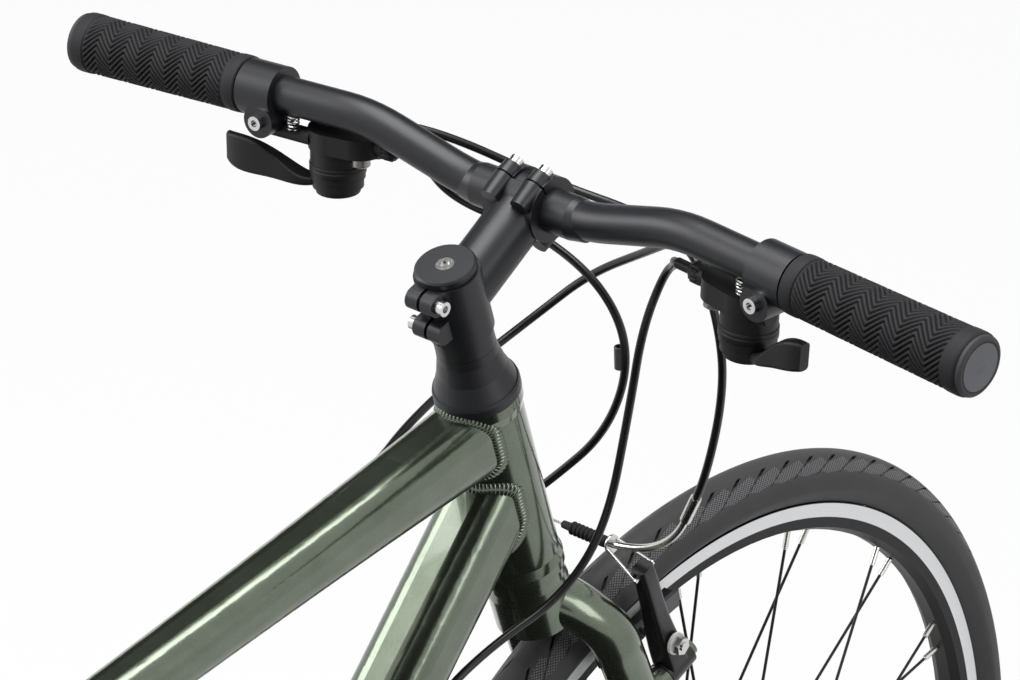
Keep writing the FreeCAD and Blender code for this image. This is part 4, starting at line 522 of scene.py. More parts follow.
def lathe_mesh(name, rows, start, way, steps=32, loop=False):
    """A turned form from rows of (radius, travel along the axis); a loop joins the last row to the first."""
    along = Vector(way).normalized()
    out = along.orthogonal().normalized()
    over = along.cross(out)
    form = bmesh.new()
    rings = []
    for radius, travel in rows:
        centre = Vector(start) + along * travel
        count = 1 if radius < 1e-7 else steps
        ring = []
        for k in range(count):
            a = math.tau * k / steps
            ring.append(form.verts.new(centre + (out * math.cos(a) + over * math.sin(a)) * radius))
        rings.append(ring)
    pairs = list(zip(rings, rings[1:]))
    if loop:
        pairs.append((rings[-1], rings[0]))
    for low, high in pairs:
        for k in range(steps):
            n = (k + 1) % steps
            corners = [low[k % len(low)], low[n % len(low)], high[n % len(high)], high[k % len(high)]]
            ring = list(dict.fromkeys(corners))
            if len(ring) > 2:
                form.faces.new(ring)
    bmesh.ops.recalc_face_normals(form, faces=form.faces)
    return rounded(mesh_of(name, form), TURNED_EDGE)


def cable_mesh(name, points, radius, sides=5):
    """A round cable whose smooth line takes the route's points as its control points."""
    curve = bpy.data.curves.new(name, "CURVE")
    curve.dimensions = "3D"
    line = curve.splines.new("NURBS")
    line.points.add(len(points) - 1)
    for point, spot in zip(line.points, points):
        point.co = (*spot, 1.0)
    line.order_u = min(3, len(points))
    line.use_endpoint_u = True
    line.resolution_u = 14
    curve.bevel_depth = radius
    curve.bevel_resolution = sides
    curve.use_fill_caps = True
    draft = show(name, curve)
    mesh = shaped(draft)
    bpy.data.objects.remove(draft)
    bpy.data.curves.remove(curve)
    return rounded(mesh, CABLE_EDGE)


def joined(name, parts):
    """Shows one piece made of several (mesh, finish name) pairs, each keeping its finish."""
    form = bmesh.new()
    for index, (part, finish) in enumerate(parts):
        before = len(form.faces)
        form.from_mesh(part)
        form.faces.ensure_lookup_table()
        for face in form.faces[before:]:
            face.material_index = index
    return coated(name, mesh_of(name, form), *(finish for _, finish in parts))


def solids_of(form):
    """The separate solids of a merged mesh, as lists of faces."""
    left = set(form.faces)
    while left:
        stack = [left.pop()]
        solid = []
        while stack:
            face = stack.pop()
            solid.append(face)
            for edge in face.edges:
                for other in edge.link_faces:
                    if other in left:
                        left.remove(other)
                        stack.append(other)
        yield solid


def dress(node, slot, choose, *finishes):
    """A merged copy of a node; with several finishes, choose picks one per solid by middle and size."""
    form = merged(node)
    for solid in solids_of(form) if choose else ():
        spots = [corner.co for face in solid for corner in face.verts]
        low = Vector(min(s[k] for s in spots) for k in range(3))
        high = Vector(max(s[k] for s in spots) for k in range(3))
        index = choose((low + high) / 2.0, high - low)
        for face in solid:
            face.material_index = index
    name = node + "_dressed"
    piece = coated(name, rounded(mesh_of(name, form), SOLID_EDGE), *finishes)
    seat_piece(piece, NODES[node]["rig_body"], slot, node)


# Grips with zigzag ribs

RIBS_START = 0.0092
RIBS_END = 0.1108
RIB_ROWS = 172
GRIP_STEPS = 284
INNER_FLANGE = [
    (BAR_R, 0.0), (0.016, 0.0), (0.0168, 0.0006), (0.017, 0.003), (0.017, 0.007), (0.0167, 0.0082),
    (0.016, 0.0088),
]
OUTER_FLANGE = [
    (0.0172, 0.0094), (0.0178, 0.0088), (0.0179, 0.007), (0.0179, 0.0022), (0.0177, 0.0008),
    (0.0171, 0.0001), (0.016, 0.0), (BAR_R, 0.0),
]


def grip_ribs():
    """Zigzag ribs that run along the grip between its two flanges."""
    sizes = {"Ribs round": 30, "Zigzags": 5, "Swing": 2.9, "Rib height": 0.0013}
    rule = Rule("grip_ribs", {**sizes, "Start": RIBS_START, "End": RIBS_END})
    place = rule.node("GeometryNodeInputPosition")
    x = rule.node("SeparateXYZ", {0: place})
    y = x.of("Y")
    z = x.of("Z")
    radius = from_axis(y, z)
    share = (x - rule.size("Start")) / (rule.size("End") - rule.size("Start"))
    zigzag = abs((share * rule.size("Zigzags")).part() * 2.0 - 1.0)
    turn = z.bearing(y) / math.tau + 0.5
    stripe = (turn * rule.size("Ribs round") + zigzag * rule.size("Swing")).part()
    ridge = abs(stripe - 0.5).rise(0.43, 0.25)
    ends = share.rise(0.0, 0.012) * share.rise(1.0, 0.988) * radius.rise(0.013, 0.0135)
    lift = (ridge - 0.55) * ends * rule.size("Rib height") / radius
    offset = rule.node("CombineXYZ", {0: 0.0, 1: y * lift, 2: z * lift})
    # land is 1 on the rib tops and 0 in the grooves; the grip finish paints shade where it is low
    kept = {"Geometry": rule.given, "Name": "land", "Value": 1.0 - (1.0 - ridge) * ends}
    marked = rule.node("GeometryNodeStoreNamedAttribute", kept, {"data_type": "FLOAT", "domain": "POINT"})
    moved = rule.node("GeometryNodeSetPosition", {"Geometry": marked, "Offset": offset})
    return rule.end(moved, "grip_rubber")


def grip_rows():
    """Closed outline of the grip sleeve: flange, ribbed length, flange and bore."""
    rows = list(INNER_FLANGE)
    for k in range(RIB_ROWS + 1):
        share = k / RIB_ROWS
        rows.append((0.0161 + 0.0009 * share, RIBS_START + (GRIP_LENGTH - 0.019) * share))
    return rows + [(radius, GRIP_LENGTH - back) for radius, back in OUTER_FLANGE]


def make_grips():
    rule = grip_ribs()
    for label, mirror in MIRRORS.items():
        axis = GRIP_WAY * mirror
        name = "grip_" + label
        sleeve = lathe_mesh(name, grip_rows(), (0.0, 0.0, 0.0), (1.0, 0.0, 0.0), GRIP_STEPS, True)
        piece = rule.grow(name, sleeve)
        up = (Vector((0.0, 0.0, 1.0)) - axis * axis.z).normalized()
        turn = Matrix((axis, up.cross(axis), up)).transposed().to_4x4()
        piece.data.transform(Matrix.Translation(GRIP_INNER * mirror) @ turn)
        seat_piece(piece, "steering", "grip_rubber", "grips")


# Tyres with cut treads

TYRE_SIDE = [
    (0.3175, 0.01), (0.3184, 0.0115), (0.326, 0.0184), (0.331, 0.019), (0.338, 0.0168), (0.344, 0.011),
    (0.348, 0.00532), (0.349, 0.0),
]
TYRE_SPANS = (2, 4, 3, 4, 8, 7, 3)
TYRE_INSIDE = [(0.3175, 0.0055), (0.328, 0.0145), (0.336, 0.0135), (0.3435, 0.004)]
SIPE_STEPS = (0.0, 0.2, 0.4, 0.415, 0.45, 0.48, 0.5, 0.52, 0.55, 0.585, 0.6, 0.8)
SIPE_DEPTH = 0.001
NOTCH_DEPTH = 0.0016
SLANT_END = 1.3


def step(value, low, high):
    """0 at low, 1 at high and a smooth step between, as the finishes' rise."""
    share = min(1.0, max(0.0, (value - low) / (high - low)))
    return share * share * (3.0 - 2.0 * share)


def tyre_rows():
    """Half of the tyre's outer line from bead to crown, as smooth (radius, across) rows."""
    rows = []
    mirror = (TYRE_SIDE[-2][0], -TYRE_SIDE[-2][1])
    spots = [TYRE_SIDE[0]] + TYRE_SIDE + [mirror]
    for k, count in enumerate(TYRE_SPANS):
        for n in range(count):
            t = n / count
            weights = (-t + 2.0 * t * t - t ** 3, 2.0 - 5.0 * t * t + 3.0 * t ** 3,
                       t + 4.0 * t * t - 3.0 * t ** 3, t ** 3 - t * t)
            near = list(zip(spots[k:k + 4], weights))
            rows.append(tuple(0.5 * sum(spot[i] * weight for spot, weight in near) for i in (0, 1)))
    return rows


def tyre_mesh(name, axle):
    """Tyre whose mesh lines run along the slanted sipes, so that their edges are true."""
    half = tyre_rows()
    skin = half + [TYRE_SIDE[-1]] + [(r, -y) for r, y in reversed(half)]
    inside = [(r, -y) for r, y in TYRE_INSIDE] + TYRE_INSIDE[::-1]
    turns = SIPES * len(SIPE_STEPS)
    spots = []
    for index, (radius, across) in enumerate(skin + inside):
        lean = abs(math.atan2(across, radius - TYRE_MIDDLE))
        shift = SIPE_SLANT * min(lean, SLANT_END)
        for k in range(turns):
            phase = SIPE_STEPS[k % len(SIPE_STEPS)]
            share = 1.0
            if index < len(skin):
                sipe, notch = tread_cuts(abs(phase - 0.5), lean, step)
                depth = max(SIPE_DEPTH * sipe, NOTCH_DEPTH * notch)
                share -= depth / math.hypot(radius - TYRE_MIDDLE, across)
            a = math.tau * (k // len(SIPE_STEPS) + phase + shift) / SIPES
            reach = TYRE_MIDDLE + (radius - TYRE_MIDDLE) * share
            spots.append(axle + Vector((math.cos(a) * reach, across * share, math.sin(a) * reach)))
    rows = len(skin + inside)
    faces = []
    for row in range(rows):
        low = row * turns
        high = (row + 1) % rows * turns
        for k in range(turns):
            n = (k + 1) % turns
            faces.append((low + k, low + n, high + n, high + k))
    mesh = bpy.data.meshes.new(name)
    mesh.from_pydata(spots, [], faces)
    return rounded(mesh, TURNED_EDGE)


def make_tyres():
    for end, axle in AXLES.items():
        node = end + "_tyre"
        name = node + "_tread"
        tyre = coated(name, tyre_mesh(name, axle), node + "_rubber")
        seat_piece(tyre, NODES[node]["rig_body"], "tyre_rubber", node)


# Weld beads round the tube joints

OUTLINE_STEP = 0.002
SEAM_BREAK = 0.006
SEAM_LIFT = 0.0003
TOP_TUBE_HALF = (0.0185, 0.0215)


def tube_outline(width, height, corner):
    """Points and outward ways round a tube's rounded section, as (across, up) pairs."""
    spots = []
    for quarter, (sx, sy) in enumerate(((1, 1), (-1, 1), (-1, -1), (1, -1))):
        middle = (sx * (width / 2.0 - corner), sy * (height / 2.0 - corner))
        for k in range(10):
            a = math.radians(90.0 * quarter + 10.0 * k)
            way = (math.cos(a), math.sin(a))
            spots.append(((middle[0] + corner * way[0], middle[1] + corner * way[1]), way))
    full = []
    for (spot, way), (after, _) in zip(spots, spots[1:] + spots[:1]):
        parts = max(1, round(math.dist(spot, after) / OUTLINE_STEP))
        for k in range(parts):
            s = k / parts
            full.append(((spot[0] + (after[0] - spot[0]) * s, spot[1] + (after[1] - spot[1]) * s), way))
    return full


def seam(line, section, wall, wall_r, root, hidden=None):
    """Where a tube's skin meets a round wall: places and the way out of the corner."""
    start, along = line
    point, axis = wall
    up = ACROSS.cross(along).normalized()
    rows = []
    for (a, b), (na, nb) in tube_outline(*section):
        base = start + ACROSS * a + up * b
        flat = (base - point) - axis * (base - point).dot(axis)
        run = along - axis * along.dot(axis)
        half = flat.dot(run) / run.dot(run)
        inside = half * half - (flat.dot(flat) - wall_r * wall_r) / run.dot(run)
        if inside < 0.0:
            continue
        place = base + along * (-half + root * math.sqrt(inside))
        away = (place - point) - axis * (place - point).dot(axis)
        lean = (ACROSS * na + up * nb + away.normalized()).normalized()
        if hidden is None or not hidden(place):
            rows.append((place, lean))
    return rows


def in_top_tube(place):
    start, along = TOP_TUBE
    rel = place - start
    up = ACROSS.cross(along).normalized()
    across, above = TOP_TUBE_HALF
    return abs(rel.dot(up)) < above and abs(rel.y) < across and rel.dot(along) > 0.0


# Each seam: tube, its section as (width, height, corner), wall and its radius, which of the two meetings
SEAMS = [
    (TOP_TUBE, (0.0396, 0.0453, 0.014), STEERER, HEAD_R, 1.0),
    (DOWN_TUBE, (0.0431, 0.0459, 0.015), STEERER, HEAD_R, 1.0, in_top_tube),
    (TOP_TUBE, (0.03, 0.0282, 0.012), SEAT_LINE, SEAT_R, -1.0),
    (SEAT_LINE, (2 * SEAT_R, 2 * SEAT_R, SEAT_R), SHELL_LINE, SHELL_R, 1.0),
    (DOWN_TUBE, (0.0478, 0.0345, 0.014), SHELL_LINE, SHELL_R, -1.0),
]
for mirror in MIRRORS.values():
    stay = (BRACKET + STAY_SHIFT * mirror, STAY_WAY)
    SEAMS.append((stay, (0.012, 0.028, 0.005), SHELL_LINE, SHELL_R, 1.0))


def bead_rule():
    """Overlapping weld scales along a seam, each lying across it."""
    sizes = {"Pitch": 0.0024, "Bead along": 0.002, "Bead across": 0.0046, "Bead height": 0.0021}
    rule = Rule("weld_beads", sizes)
    path = rule.node("GeometryNodeMeshToCurve", {0: rule.given})
    lean = rule.node("GeometryNodeInputNamedAttribute", {"Name": "lean"}, {"data_type": "FLOAT_VECTOR"})
    facing = (lean, rule.node("GeometryNodeInputTangent"))
    radii = ("Bead along", "Bead across", "Bead height")
    return rule.end(rule.row_along(path, "Pitch", "ZX", facing, radii), "green_paint")


def seam_mesh(name, seams):
    """Seam lines as edges, with the way out of the corner kept at each point."""
    mesh = bpy.data.meshes.new(name)
    spots = []
    edges = []
    leans = []
    for rows in seams:
        first = len(spots)
        for k, (place, lean) in enumerate(rows):
            spots.append(place + lean * SEAM_LIFT)
            leans.extend(lean)
            if k and (place - rows[k - 1][0]).length < SEAM_BREAK:
                edges.append((first + k - 1, first + k))
        if (rows[0][0] - rows[-1][0]).length < SEAM_BREAK:
            edges.append((first + len(rows) - 1, first))
    mesh.from_pydata(spots, edges, [])
    mesh.attributes.new("lean", "FLOAT_VECTOR", "POINT").data.foreach_set("vector", leans)
    return mesh


def make_welds():
    lines = seam_mesh("weld_beads", [seam(*facts) for facts in SEAMS])
    seat_piece(bead_rule().grow("weld_beads", lines), "frame", "frame_paint")


# Cables

SHIFT_LEFT = [
    (0.3646, 0.1004, 0.9469), (0.3662, 0.0844, 0.9473), (0.374, 0.066, 0.9241), (0.388, 0.015, 0.9161),
    (0.389, -0.034, 0.8961), (0.392, -0.052, 0.8581), (0.391, -0.038, 0.8061), (0.386, 0.0, 0.7621),
    (0.368, 0.036, 0.7241), (0.322, 0.036, 0.6971), (0.2817, 0.01, 0.6735), (0.2631, 0.01, 0.6526),
]
BRAKE_RIGHT = [
    (0.3677, -0.1434, 0.9579), (0.3694, -0.1255, 0.9583), (0.388, -0.094, 0.9481), (0.412, -0.045, 0.9141),
    (0.418, 0.0, 0.8841), (0.408, 0.03, 0.8521), (0.372, 0.047, 0.8281), (0.31, 0.042, 0.8151),
    (0.2601, 0.0246, 0.8106), (0.2305, 0.0244, 0.8059),
]
SHIFT_RIGHT = [
    (0.3632, -0.1143, 0.9416), (0.3648, -0.0983, 0.942), (0.386, -0.086, 0.9291), (0.396, -0.07, 0.9151),
    (0.388, -0.062, 0.8801), (0.387, -0.056, 0.8301), (0.381, -0.047, 0.7521), (0.356, -0.036, 0.7121),
    (0.315, -0.018, 0.6901), (0.2777, -0.01, 0.669), (0.2631, -0.01, 0.6526),
]
BRAKE_LEFT = [
    (0.3677, 0.1434, 0.9579), (0.3694, 0.1255, 0.9583), (0.394, 0.092, 0.9521), (0.428, 0.04, 0.9261),
    (0.436, -0.03, 0.9221), (0.404, -0.088, 0.9261), (0.404, -0.106, 0.8801), (0.413, -0.101, 0.8361),
    (0.412, -0.0921, 0.7856), (0.4139, -0.0853, 0.7713),
]
REAR_BRAKE = [
    (-0.1378, 0.0209, 0.7475), (-0.1812, 0.0205, 0.7407), (-0.2228, 0.058, 0.7579),
    (-0.2716, 0.1044, 0.7489), (-0.2893, 0.0853, 0.7121),
]
REAR_SHIFT = [
    (-0.4129, -0.0554, 0.314), (-0.4555, -0.0623, 0.3223), (-0.478, -0.092, 0.323), (-0.568, -0.104, 0.335),
    (-0.638, -0.098, 0.341), (-0.642, -0.086, 0.287), (-0.59, -0.082, 0.293), (-0.5586, -0.0815, 0.32),
]
WIRES = {
    "top_tube_wire": [(0.2293, 0.0244, 0.8057), (-0.1366, 0.0209, 0.7477)],
    "front_shift_wire": [(0.2623, 0.01, 0.6517), (-0.0828, 0.01, 0.2595), (-0.1288, 0.01, 0.2595),
                         (-0.1428, 0.0, 0.304), (-0.1488, -0.008, 0.329), (-0.1495, -0.031, 0.4496)],
    "rear_shift_wire": [(0.2623, -0.01, 0.6517), (-0.0828, -0.01, 0.2595), (-0.1328, -0.01, 0.2595),
                        (-0.4117, -0.0552, 0.3137)],
}
BAR_CAP = 0.012
STOP_CAP = 0.01
BAR_BEND = ("frame", "steering")
BAR_BEND_TOP = (0.35, 0.0, 0.935)
# Housings given two bodies: route, its first and last cap, both bodies, where the bend starts and ends, node
BENT = {
    "shift_housing_left": (
        SHIFT_LEFT, BAR_CAP, STOP_CAP, *BAR_BEND, (0.35, 0.0, 0.7), BAR_BEND_TOP, "control_cables"),
    "brake_housing_right": (
        BRAKE_RIGHT, BAR_CAP, STOP_CAP, *BAR_BEND, (0.35, 0.0, 0.812), BAR_BEND_TOP, "control_cables"),
    "shift_housing_right": (
        SHIFT_RIGHT, BAR_CAP, STOP_CAP, *BAR_BEND, (0.35, 0.0, 0.7), BAR_BEND_TOP, "control_cables"),
    "front_brake_housing": (
        BRAKE_LEFT, BAR_CAP, None, "steering", "front_brake_arm_right",
        (0.41, -0.1, 0.9), (0.414, -0.085, 0.772), "front_brake_cable"),
    "rear_brake_housing": (
        REAR_BRAKE, STOP_CAP, None, "frame", "rear_brake_arm_left",
        (-0.22, 0.06, 0.757), (-0.2893, 0.0853, 0.7121), "control_cables"),
}
SLEEVE_AT = (0.3912, -0.0438, 0.862)
SLEEVE_WAY = (0.02, -0.05, -1.0)
SLEEVE_ROWS = [
    (0.0025, 0.0), (0.003, 0.0), (0.0033, 0.0004), (0.0033, 0.0136), (0.003, 0.014), (0.0025, 0.014),
]


def end_cap(name, points, length):
    """Turned ferrule on the last stretch of a housing."""
    tip = Vector(points[-1])
    way = (tip - Vector(points[-2])).normalized()
    rim = 0.0004
    rows = [(0.0, 0.0), (0.0029, 0.0), (0.0032, rim), (0.0032, length - rim), (0.0029, length), (0.0, length)]
    return lathe_mesh(name, rows, tip - way * length, way, 24)


def housing_parts(name, points, first_cap, last_cap):
    """A housing and the caps on its ends; an end without a cap has None."""
    parts = [(cable_mesh(name, points, HOUSING_R), "cable_sheath")]
    for line, length in ((points, last_cap), (points[1::-1], first_cap)):
        if length:
            parts.append((end_cap(name, line, length), "moulded_black"))
    return parts


def make_housings():
    """Housings listed with two bodies each, the loop at the rear derailleur and the bare wires."""
    for name, (points, first_cap, last_cap, *bend) in BENT.items():
        parts = housing_parts(name, points, first_cap, last_cap)
        if points is SHIFT_LEFT:
            parts.append((lathe_mesh(name, SLEEVE_ROWS, SLEEVE_AT, SLEEVE_WAY, 24, True), "holder_grey"))
        bend_piece(joined(name, parts), "cable_sheath", *bend)
    name = "rear_shift_housing"
    loop = joined(name, housing_parts(name, REAR_SHIFT, STOP_CAP, STOP_CAP))
    seat_piece(loop, "frame", "cable_sheath", "control_cables")
    for name, points in WIRES.items():
        piece = coated(name, cable_mesh(name, points, WIRE_R, 3), "bare_wire")
        seat_piece(piece, "frame", "steel", "control_cables")


BOOT_RIBS = 6
BOOT_START = 0.007
BOOT_PITCH = 0.003
BOOT_RIB = [(0.0036, 0.0), (0.0042, 0.0006), (0.0042, 0.0012), (0.0036, 0.0018), (0.0031, 0.0024)]
FERRULE_LENGTH = 0.022
FERRULE_ROWS = [
    (0.0, 0.0), (0.0026, 0.0), (0.0034, 0.0008), (0.0034, 0.0212), (0.0031, 0.022), (0.0, 0.022),
]
EYE_ROWS = [
    (0.0024, 0.0), (0.0056, 0.0), (0.0058, 0.0003), (0.0058, 0.0013), (0.0056, 0.0016), (0.0024, 0.0016),
]
GUIDE_R = 0.0023
LEG_R = 0.0011
PIN_R = 0.0015
BRAKE_LINES = {
    "front": {
        "noodle": [(0.4239, -0.014, 0.7112), (0.4212, -0.06, 0.7176), (0.4166, -0.076, 0.7515)],
        "ferrule": (0.4139, -0.0853, 0.7713),
        "boot": ((0.4239, 0.0196, 0.7112), (0.0, -1.0, 0.0)),
        "wire": [(0.4239, 0.0341, 0.7112), (0.4239, 0.015, 0.7112)],
        "hook": [(0.4168, -0.0411, 0.6973), (0.4333, -0.0411, 0.7043)],
        "ring": (0.4237, -0.017, 0.7116),
        "legs": [
            [(0.4195, -0.0178, 0.7099), (0.4175, -0.0411, 0.6976)],
            [(0.4279, -0.0178, 0.7135), (0.4326, -0.0411, 0.704)],
        ],
        "near": "front_brake_arm_right", "far": "front_brake_arm_left", "node": "front_brake_cable",
    },
    "rear": {
        "noodle": [(-0.3174, 0.014, 0.6581), (-0.3128, 0.06, 0.6634), (-0.298, 0.076, 0.6942)],
        "ferrule": (-0.2893, 0.0853, 0.7121),
        "boot": ((-0.3174, -0.0196, 0.6581), (0.0, 1.0, 0.0)),
        "wire": [(-0.3174, -0.034, 0.6581), (-0.3174, -0.015, 0.6581)],
        "hook": [(-0.3149, 0.041, 0.6427), (-0.3285, 0.041, 0.6545)],
        "ring": (-0.3171, 0.017, 0.6584),
        "legs": [
            [(-0.3136, 0.0178, 0.6555), (-0.3155, 0.041, 0.6432)],
            [(-0.3205, 0.0178, 0.6616), (-0.3279, 0.041, 0.654)],
        ],
        "near": "rear_brake_arm_left", "far": "rear_brake_arm_right", "node": "control_cables",
    },
}


def boot_rows():
    """Bellows boot: a slim neck, six ribs and a plain sleeve."""
    rows = [(0.0, 0.0), (0.0021, 0.0), (0.0024, 0.0004), (0.0026, 0.0048), (0.003, 0.0062)]
    for k in range(BOOT_RIBS):
        at = BOOT_START + BOOT_PITCH * k
        rows += [(radius, at + travel) for radius, travel in BOOT_RIB]
    return rows + [(0.0034, 0.0256), (0.0036, 0.0266), (0.0036, 0.0324), (0.0033, 0.033), (0.0, 0.033)]


def make_brake_lines():
    """Bent guide tube, its ferrule and stirrup, the bellows boot and the wire to the far arm."""
    for end, facts in BRAKE_LINES.items():
        points = [Vector(p) for p in facts["noodle"]]
        tip = Vector(facts["ferrule"])
        way = (tip - points[2]).normalized()
        lead = (points[1] - points[0]).normalized()
        name = end + "_guide"
        meshes = [cable_mesh(name, points, GUIDE_R)]
        meshes.append(lathe_mesh(name, FERRULE_ROWS, tip - way * FERRULE_LENGTH, way))
        meshes.append(lathe_mesh(name, EYE_ROWS, facts["ring"], lead, loop=True))
        meshes += [cable_mesh(name, leg, LEG_R) for leg in facts["legs"]]
        meshes.append(cable_mesh(name, facts["hook"], PIN_R))
        piece = joined(name, [(mesh, "bright_steel") for mesh in meshes])
        seat_piece(piece, facts["near"], "steel", facts["node"])
        name = end + "_boot"
        boot = coated(name, lathe_mesh(name, boot_rows(), *facts["boot"]), "brake_rubber")
        seat_piece(boot, facts["near"], "grip_rubber", facts["node"])
        name = end + "_brake_wire"
        strand = coated(name, cable_mesh(name, facts["wire"], WIRE_R, 3), "bare_wire")
        seat_piece(strand, facts["far"], "steel", facts["node"])


# Small parts at the levers and pods, and the chain

SPRING_AT = Vector((0.344, 0.162, 0.959))
SPRING_R = 0.0036
SPRING_LENGTH = 0.0095
SPRING_WIRE_R = 0.00055
SPRING_TURNS = 5
SPRING_STEPS = 12
ADJUSTER_ROWS = [
    (0.0, 0.0), (0.0058, 0.0), (0.0062, 0.0006), (0.0062, 0.0064), (0.0058, 0.007), (0.0046, 0.0086),
    (0.0034, 0.01), (0.0, 0.01),
]
ADJUSTER_BACK = 0.0085
ADJUSTER_RIBS = 14
RIBS_FROM_R = 0.0056
RIB_LIFT = 0.0004
POD_PIVOTS = {"left": (0.360363, 0.141845, 0.917948), "right": (0.358963, -0.15573, 0.912627)}
POD_UP = Vector((0.0, 0.022994, 0.999736))
POD_INWARD = Vector((0.0995, -0.9948, 0.0232))
POD_AHEAD = Vector((0.995, 0.0995, -0.0023))
POD_TOP = 0.05
BAND_ROWS = [
    (0.0158, 0.0372), (0.01635, 0.0374), (0.0166, 0.0378), (0.0166, 0.039), (0.0163, 0.0394),
    (0.0163, 0.04), (0.0166, 0.0404), (0.0166, 0.0434), (0.01635, 0.0438), (0.0158, 0.044),
]
BOSS_ROWS = [
    (0.0, 0.0), (0.0055, 0.0), (0.0055, 0.005), (0.005, 0.0056), (0.0022, 0.0056), (0.002, 0.0048),
    (0.0, 0.0048),
]
BOSS_DOWN = 0.028
BOSS_INWARD = 0.0211
BOSS_BACK = 0.006
CHAIN_WAY = Vector((-0.74, 0.0, -0.673))
CHAIN_BEND = (CHAIN_WAY * 0.2105, CHAIN_WAY * 0.2445)


def make_lever_springs():
    """Return spring at the root of each brake lever: a short open coil."""
    count = SPRING_STEPS * SPRING_TURNS
    for label, mirror in MIRRORS.items():
        points = []
        for k in range(count + 1):
            a = math.tau * k / SPRING_STEPS
            spot = Vector((math.cos(a) * SPRING_R, math.sin(a) * SPRING_R, -SPRING_LENGTH * k / count))
            points.append(SPRING_AT * mirror + spot)
        name = "lever_spring_" + label
        spring = coated(name, cable_mesh(name, points, SPRING_WIRE_R, 2), "bright_steel")
        seat_piece(spring, "steering", "steel")


def make_adjusters():
    """Ribbed barrel adjuster where a housing enters its lever or pod."""
    lines = {"shift_adjuster_left": SHIFT_LEFT, "shift_adjuster_right": SHIFT_RIGHT,
             "brake_adjuster_left": BRAKE_LEFT, "brake_adjuster_right": BRAKE_RIGHT}
    for name, points in lines.items():
        tip = Vector(points[0])
        way = (Vector(points[1]) - tip).normalized()
        start = tip - way * ADJUSTER_BACK
        mesh = lathe_mesh(name, ADJUSTER_ROWS, start, way, 6 * ADJUSTER_RIBS)
        first = way.orthogonal().normalized()
        over = way.cross(first)
        for corner in mesh.vertices:
            out = corner.co - start
            out -= way * out.dot(way)
            if out.length > RIBS_FROM_R:
                turn = math.atan2(out.dot(over), out.dot(first))
                corner.co += out.normalized() * (RIB_LIFT * math.cos(ADJUSTER_RIBS * turn))
        seat_piece(coated(name, mesh, "moulded_black"), "steering", "black_plastic")


def make_pod_trim():
    """Stepped band round each shifter pod and the plated boss under its inner end."""
    for label, pivot in POD_PIVOTS.items():
        up, inward, ahead = (way * MIRRORS[label] for way in (POD_UP, POD_INWARD, POD_AHEAD))
        top = Vector(pivot) + up * POD_TOP
        boss = top - up * BOSS_DOWN + inward * BOSS_INWARD - ahead * BOSS_BACK
        name = "pod_trim_" + label
        parts = [(lathe_mesh(name, BAND_ROWS, top, -up, 64, True), "moulded_black")]
        parts.append((lathe_mesh(name, BOSS_ROWS, boss, -up, 40), "drive_steel"))
        seat_piece(joined(name, parts), "steering", "black_plastic")


def make_chain():
    """Chain loop from a merged copy of its node; the sprung cage that carries the two small wheels is passed
    along but not used.
    """
    mesh = rounded(mesh_of("chain_links", merged("chain")), SOLID_EDGE)
    chain = coated("chain_links", mesh, "drive_steel")
    bend_piece(chain, "steel", "frame", "rear_derailleur_cage", *CHAIN_BEND, "chain")


# Saddle

PAD_VOXEL = 0.005
PAD_INSET = 0.0018
PLUMP_LIMIT = 0.003
PLUMP_MOMENTS = 20
RELIEF_FLOOR = SADDLE_AT.z + 0.049
RELIEF_DEPTH = 0.004
RELIEF_WIDTH = 0.008
RELIEF_BLEND = 0.008
RELIEF_MIDDLE = -0.02
RELIEF_HALF = 0.09
RELIEF_FADE = 0.05
WELT_AT = SADDLE_AT.z + 0.0455
STITCH_LIFT = 0.0012


def level_line(pad, height):
    """The line round the pad at one height, as loose edges."""
    form = bmesh.new()
    form.from_mesh(pad)
    whole = list(form.verts) + list(form.edges) + list(form.faces)
    plane = {"plane_co": (0.0, 0.0, height), "plane_no": (0.0, 0.0, 1.0)}
    found = bmesh.ops.bisect_plane(form, geom=whole, **plane)
    kept = {item for item in found["geom_cut"] if isinstance(item, bmesh.types.BMEdge)}
    bmesh.ops.delete(form, geom=[edge for edge in form.edges if edge not in kept], context="EDGES")
    bmesh.ops.delete(form, geom=[spot for spot in form.verts if not spot.link_edges], context="VERTS")
    return mesh_of("saddle_seam", form)


def sewn_edge():
    """A thin welt round the pad with a row of stitches on it."""
    sizes = {"Stitch pitch": 0.0052, "Stitch half length": 0.0018, "Thread": 0.0006, "Welt": 0.001}
    rule = Rule("sewn_edge", sizes)
    line = rule.node("GeometryNodeMeshToCurve", {0: rule.given})
    circle = {"Resolution": 8, "Radius": rule.size("Welt")}
    ring = rule.node("GeometryNodeCurvePrimitiveCircle", circle)
    welt = rule.node("GeometryNodeCurveToMesh", {"Curve": line, "Profile Curve": ring})
    facing = (rule.node("GeometryNodeInputTangent"), (0.0, 0.0, 1.0))
    radii = ("Stitch half length", "Thread", "Thread")
    row = rule.row_along(line, "Stitch pitch", "XZ", facing, radii, STITCH_LIFT)
    both = rule.node("GeometryNodeJoinGeometry", {0: welt})
    rule.tree.links.new(row.socket, both.socket.node.inputs[0])
    return rule.end(both, "thread_grey")


def puff(piece):
    """Short cloth run that plumps the pad inside its cover, held within a few millimetres."""
    rest = [corner.co.copy() for corner in piece.data.vertices]
    cloth = piece.modifiers.new("plump", "CLOTH")
    cloth.settings.use_pressure = True
    cloth.settings.uniform_pressure_force = 4.0
    cloth.settings.effector_weights.gravity = 0.0
    for moment in range(1, PLUMP_MOMENTS + 1):
        bpy.context.scene.frame_set(moment)
    ready = piece.evaluated_get(bpy.context.evaluated_depsgraph_get())
    plump = [corner.co.copy() for corner in ready.data.vertices]
    piece.modifiers.clear()
    bpy.context.scene.frame_set(1)
    for corner, old, new in zip(piece.data.vertices, rest, plump):
        move = new - old
        if move.length > PLUMP_LIMIT:
            move = move.normalized() * PLUMP_LIMIT
        corner.co = old + move


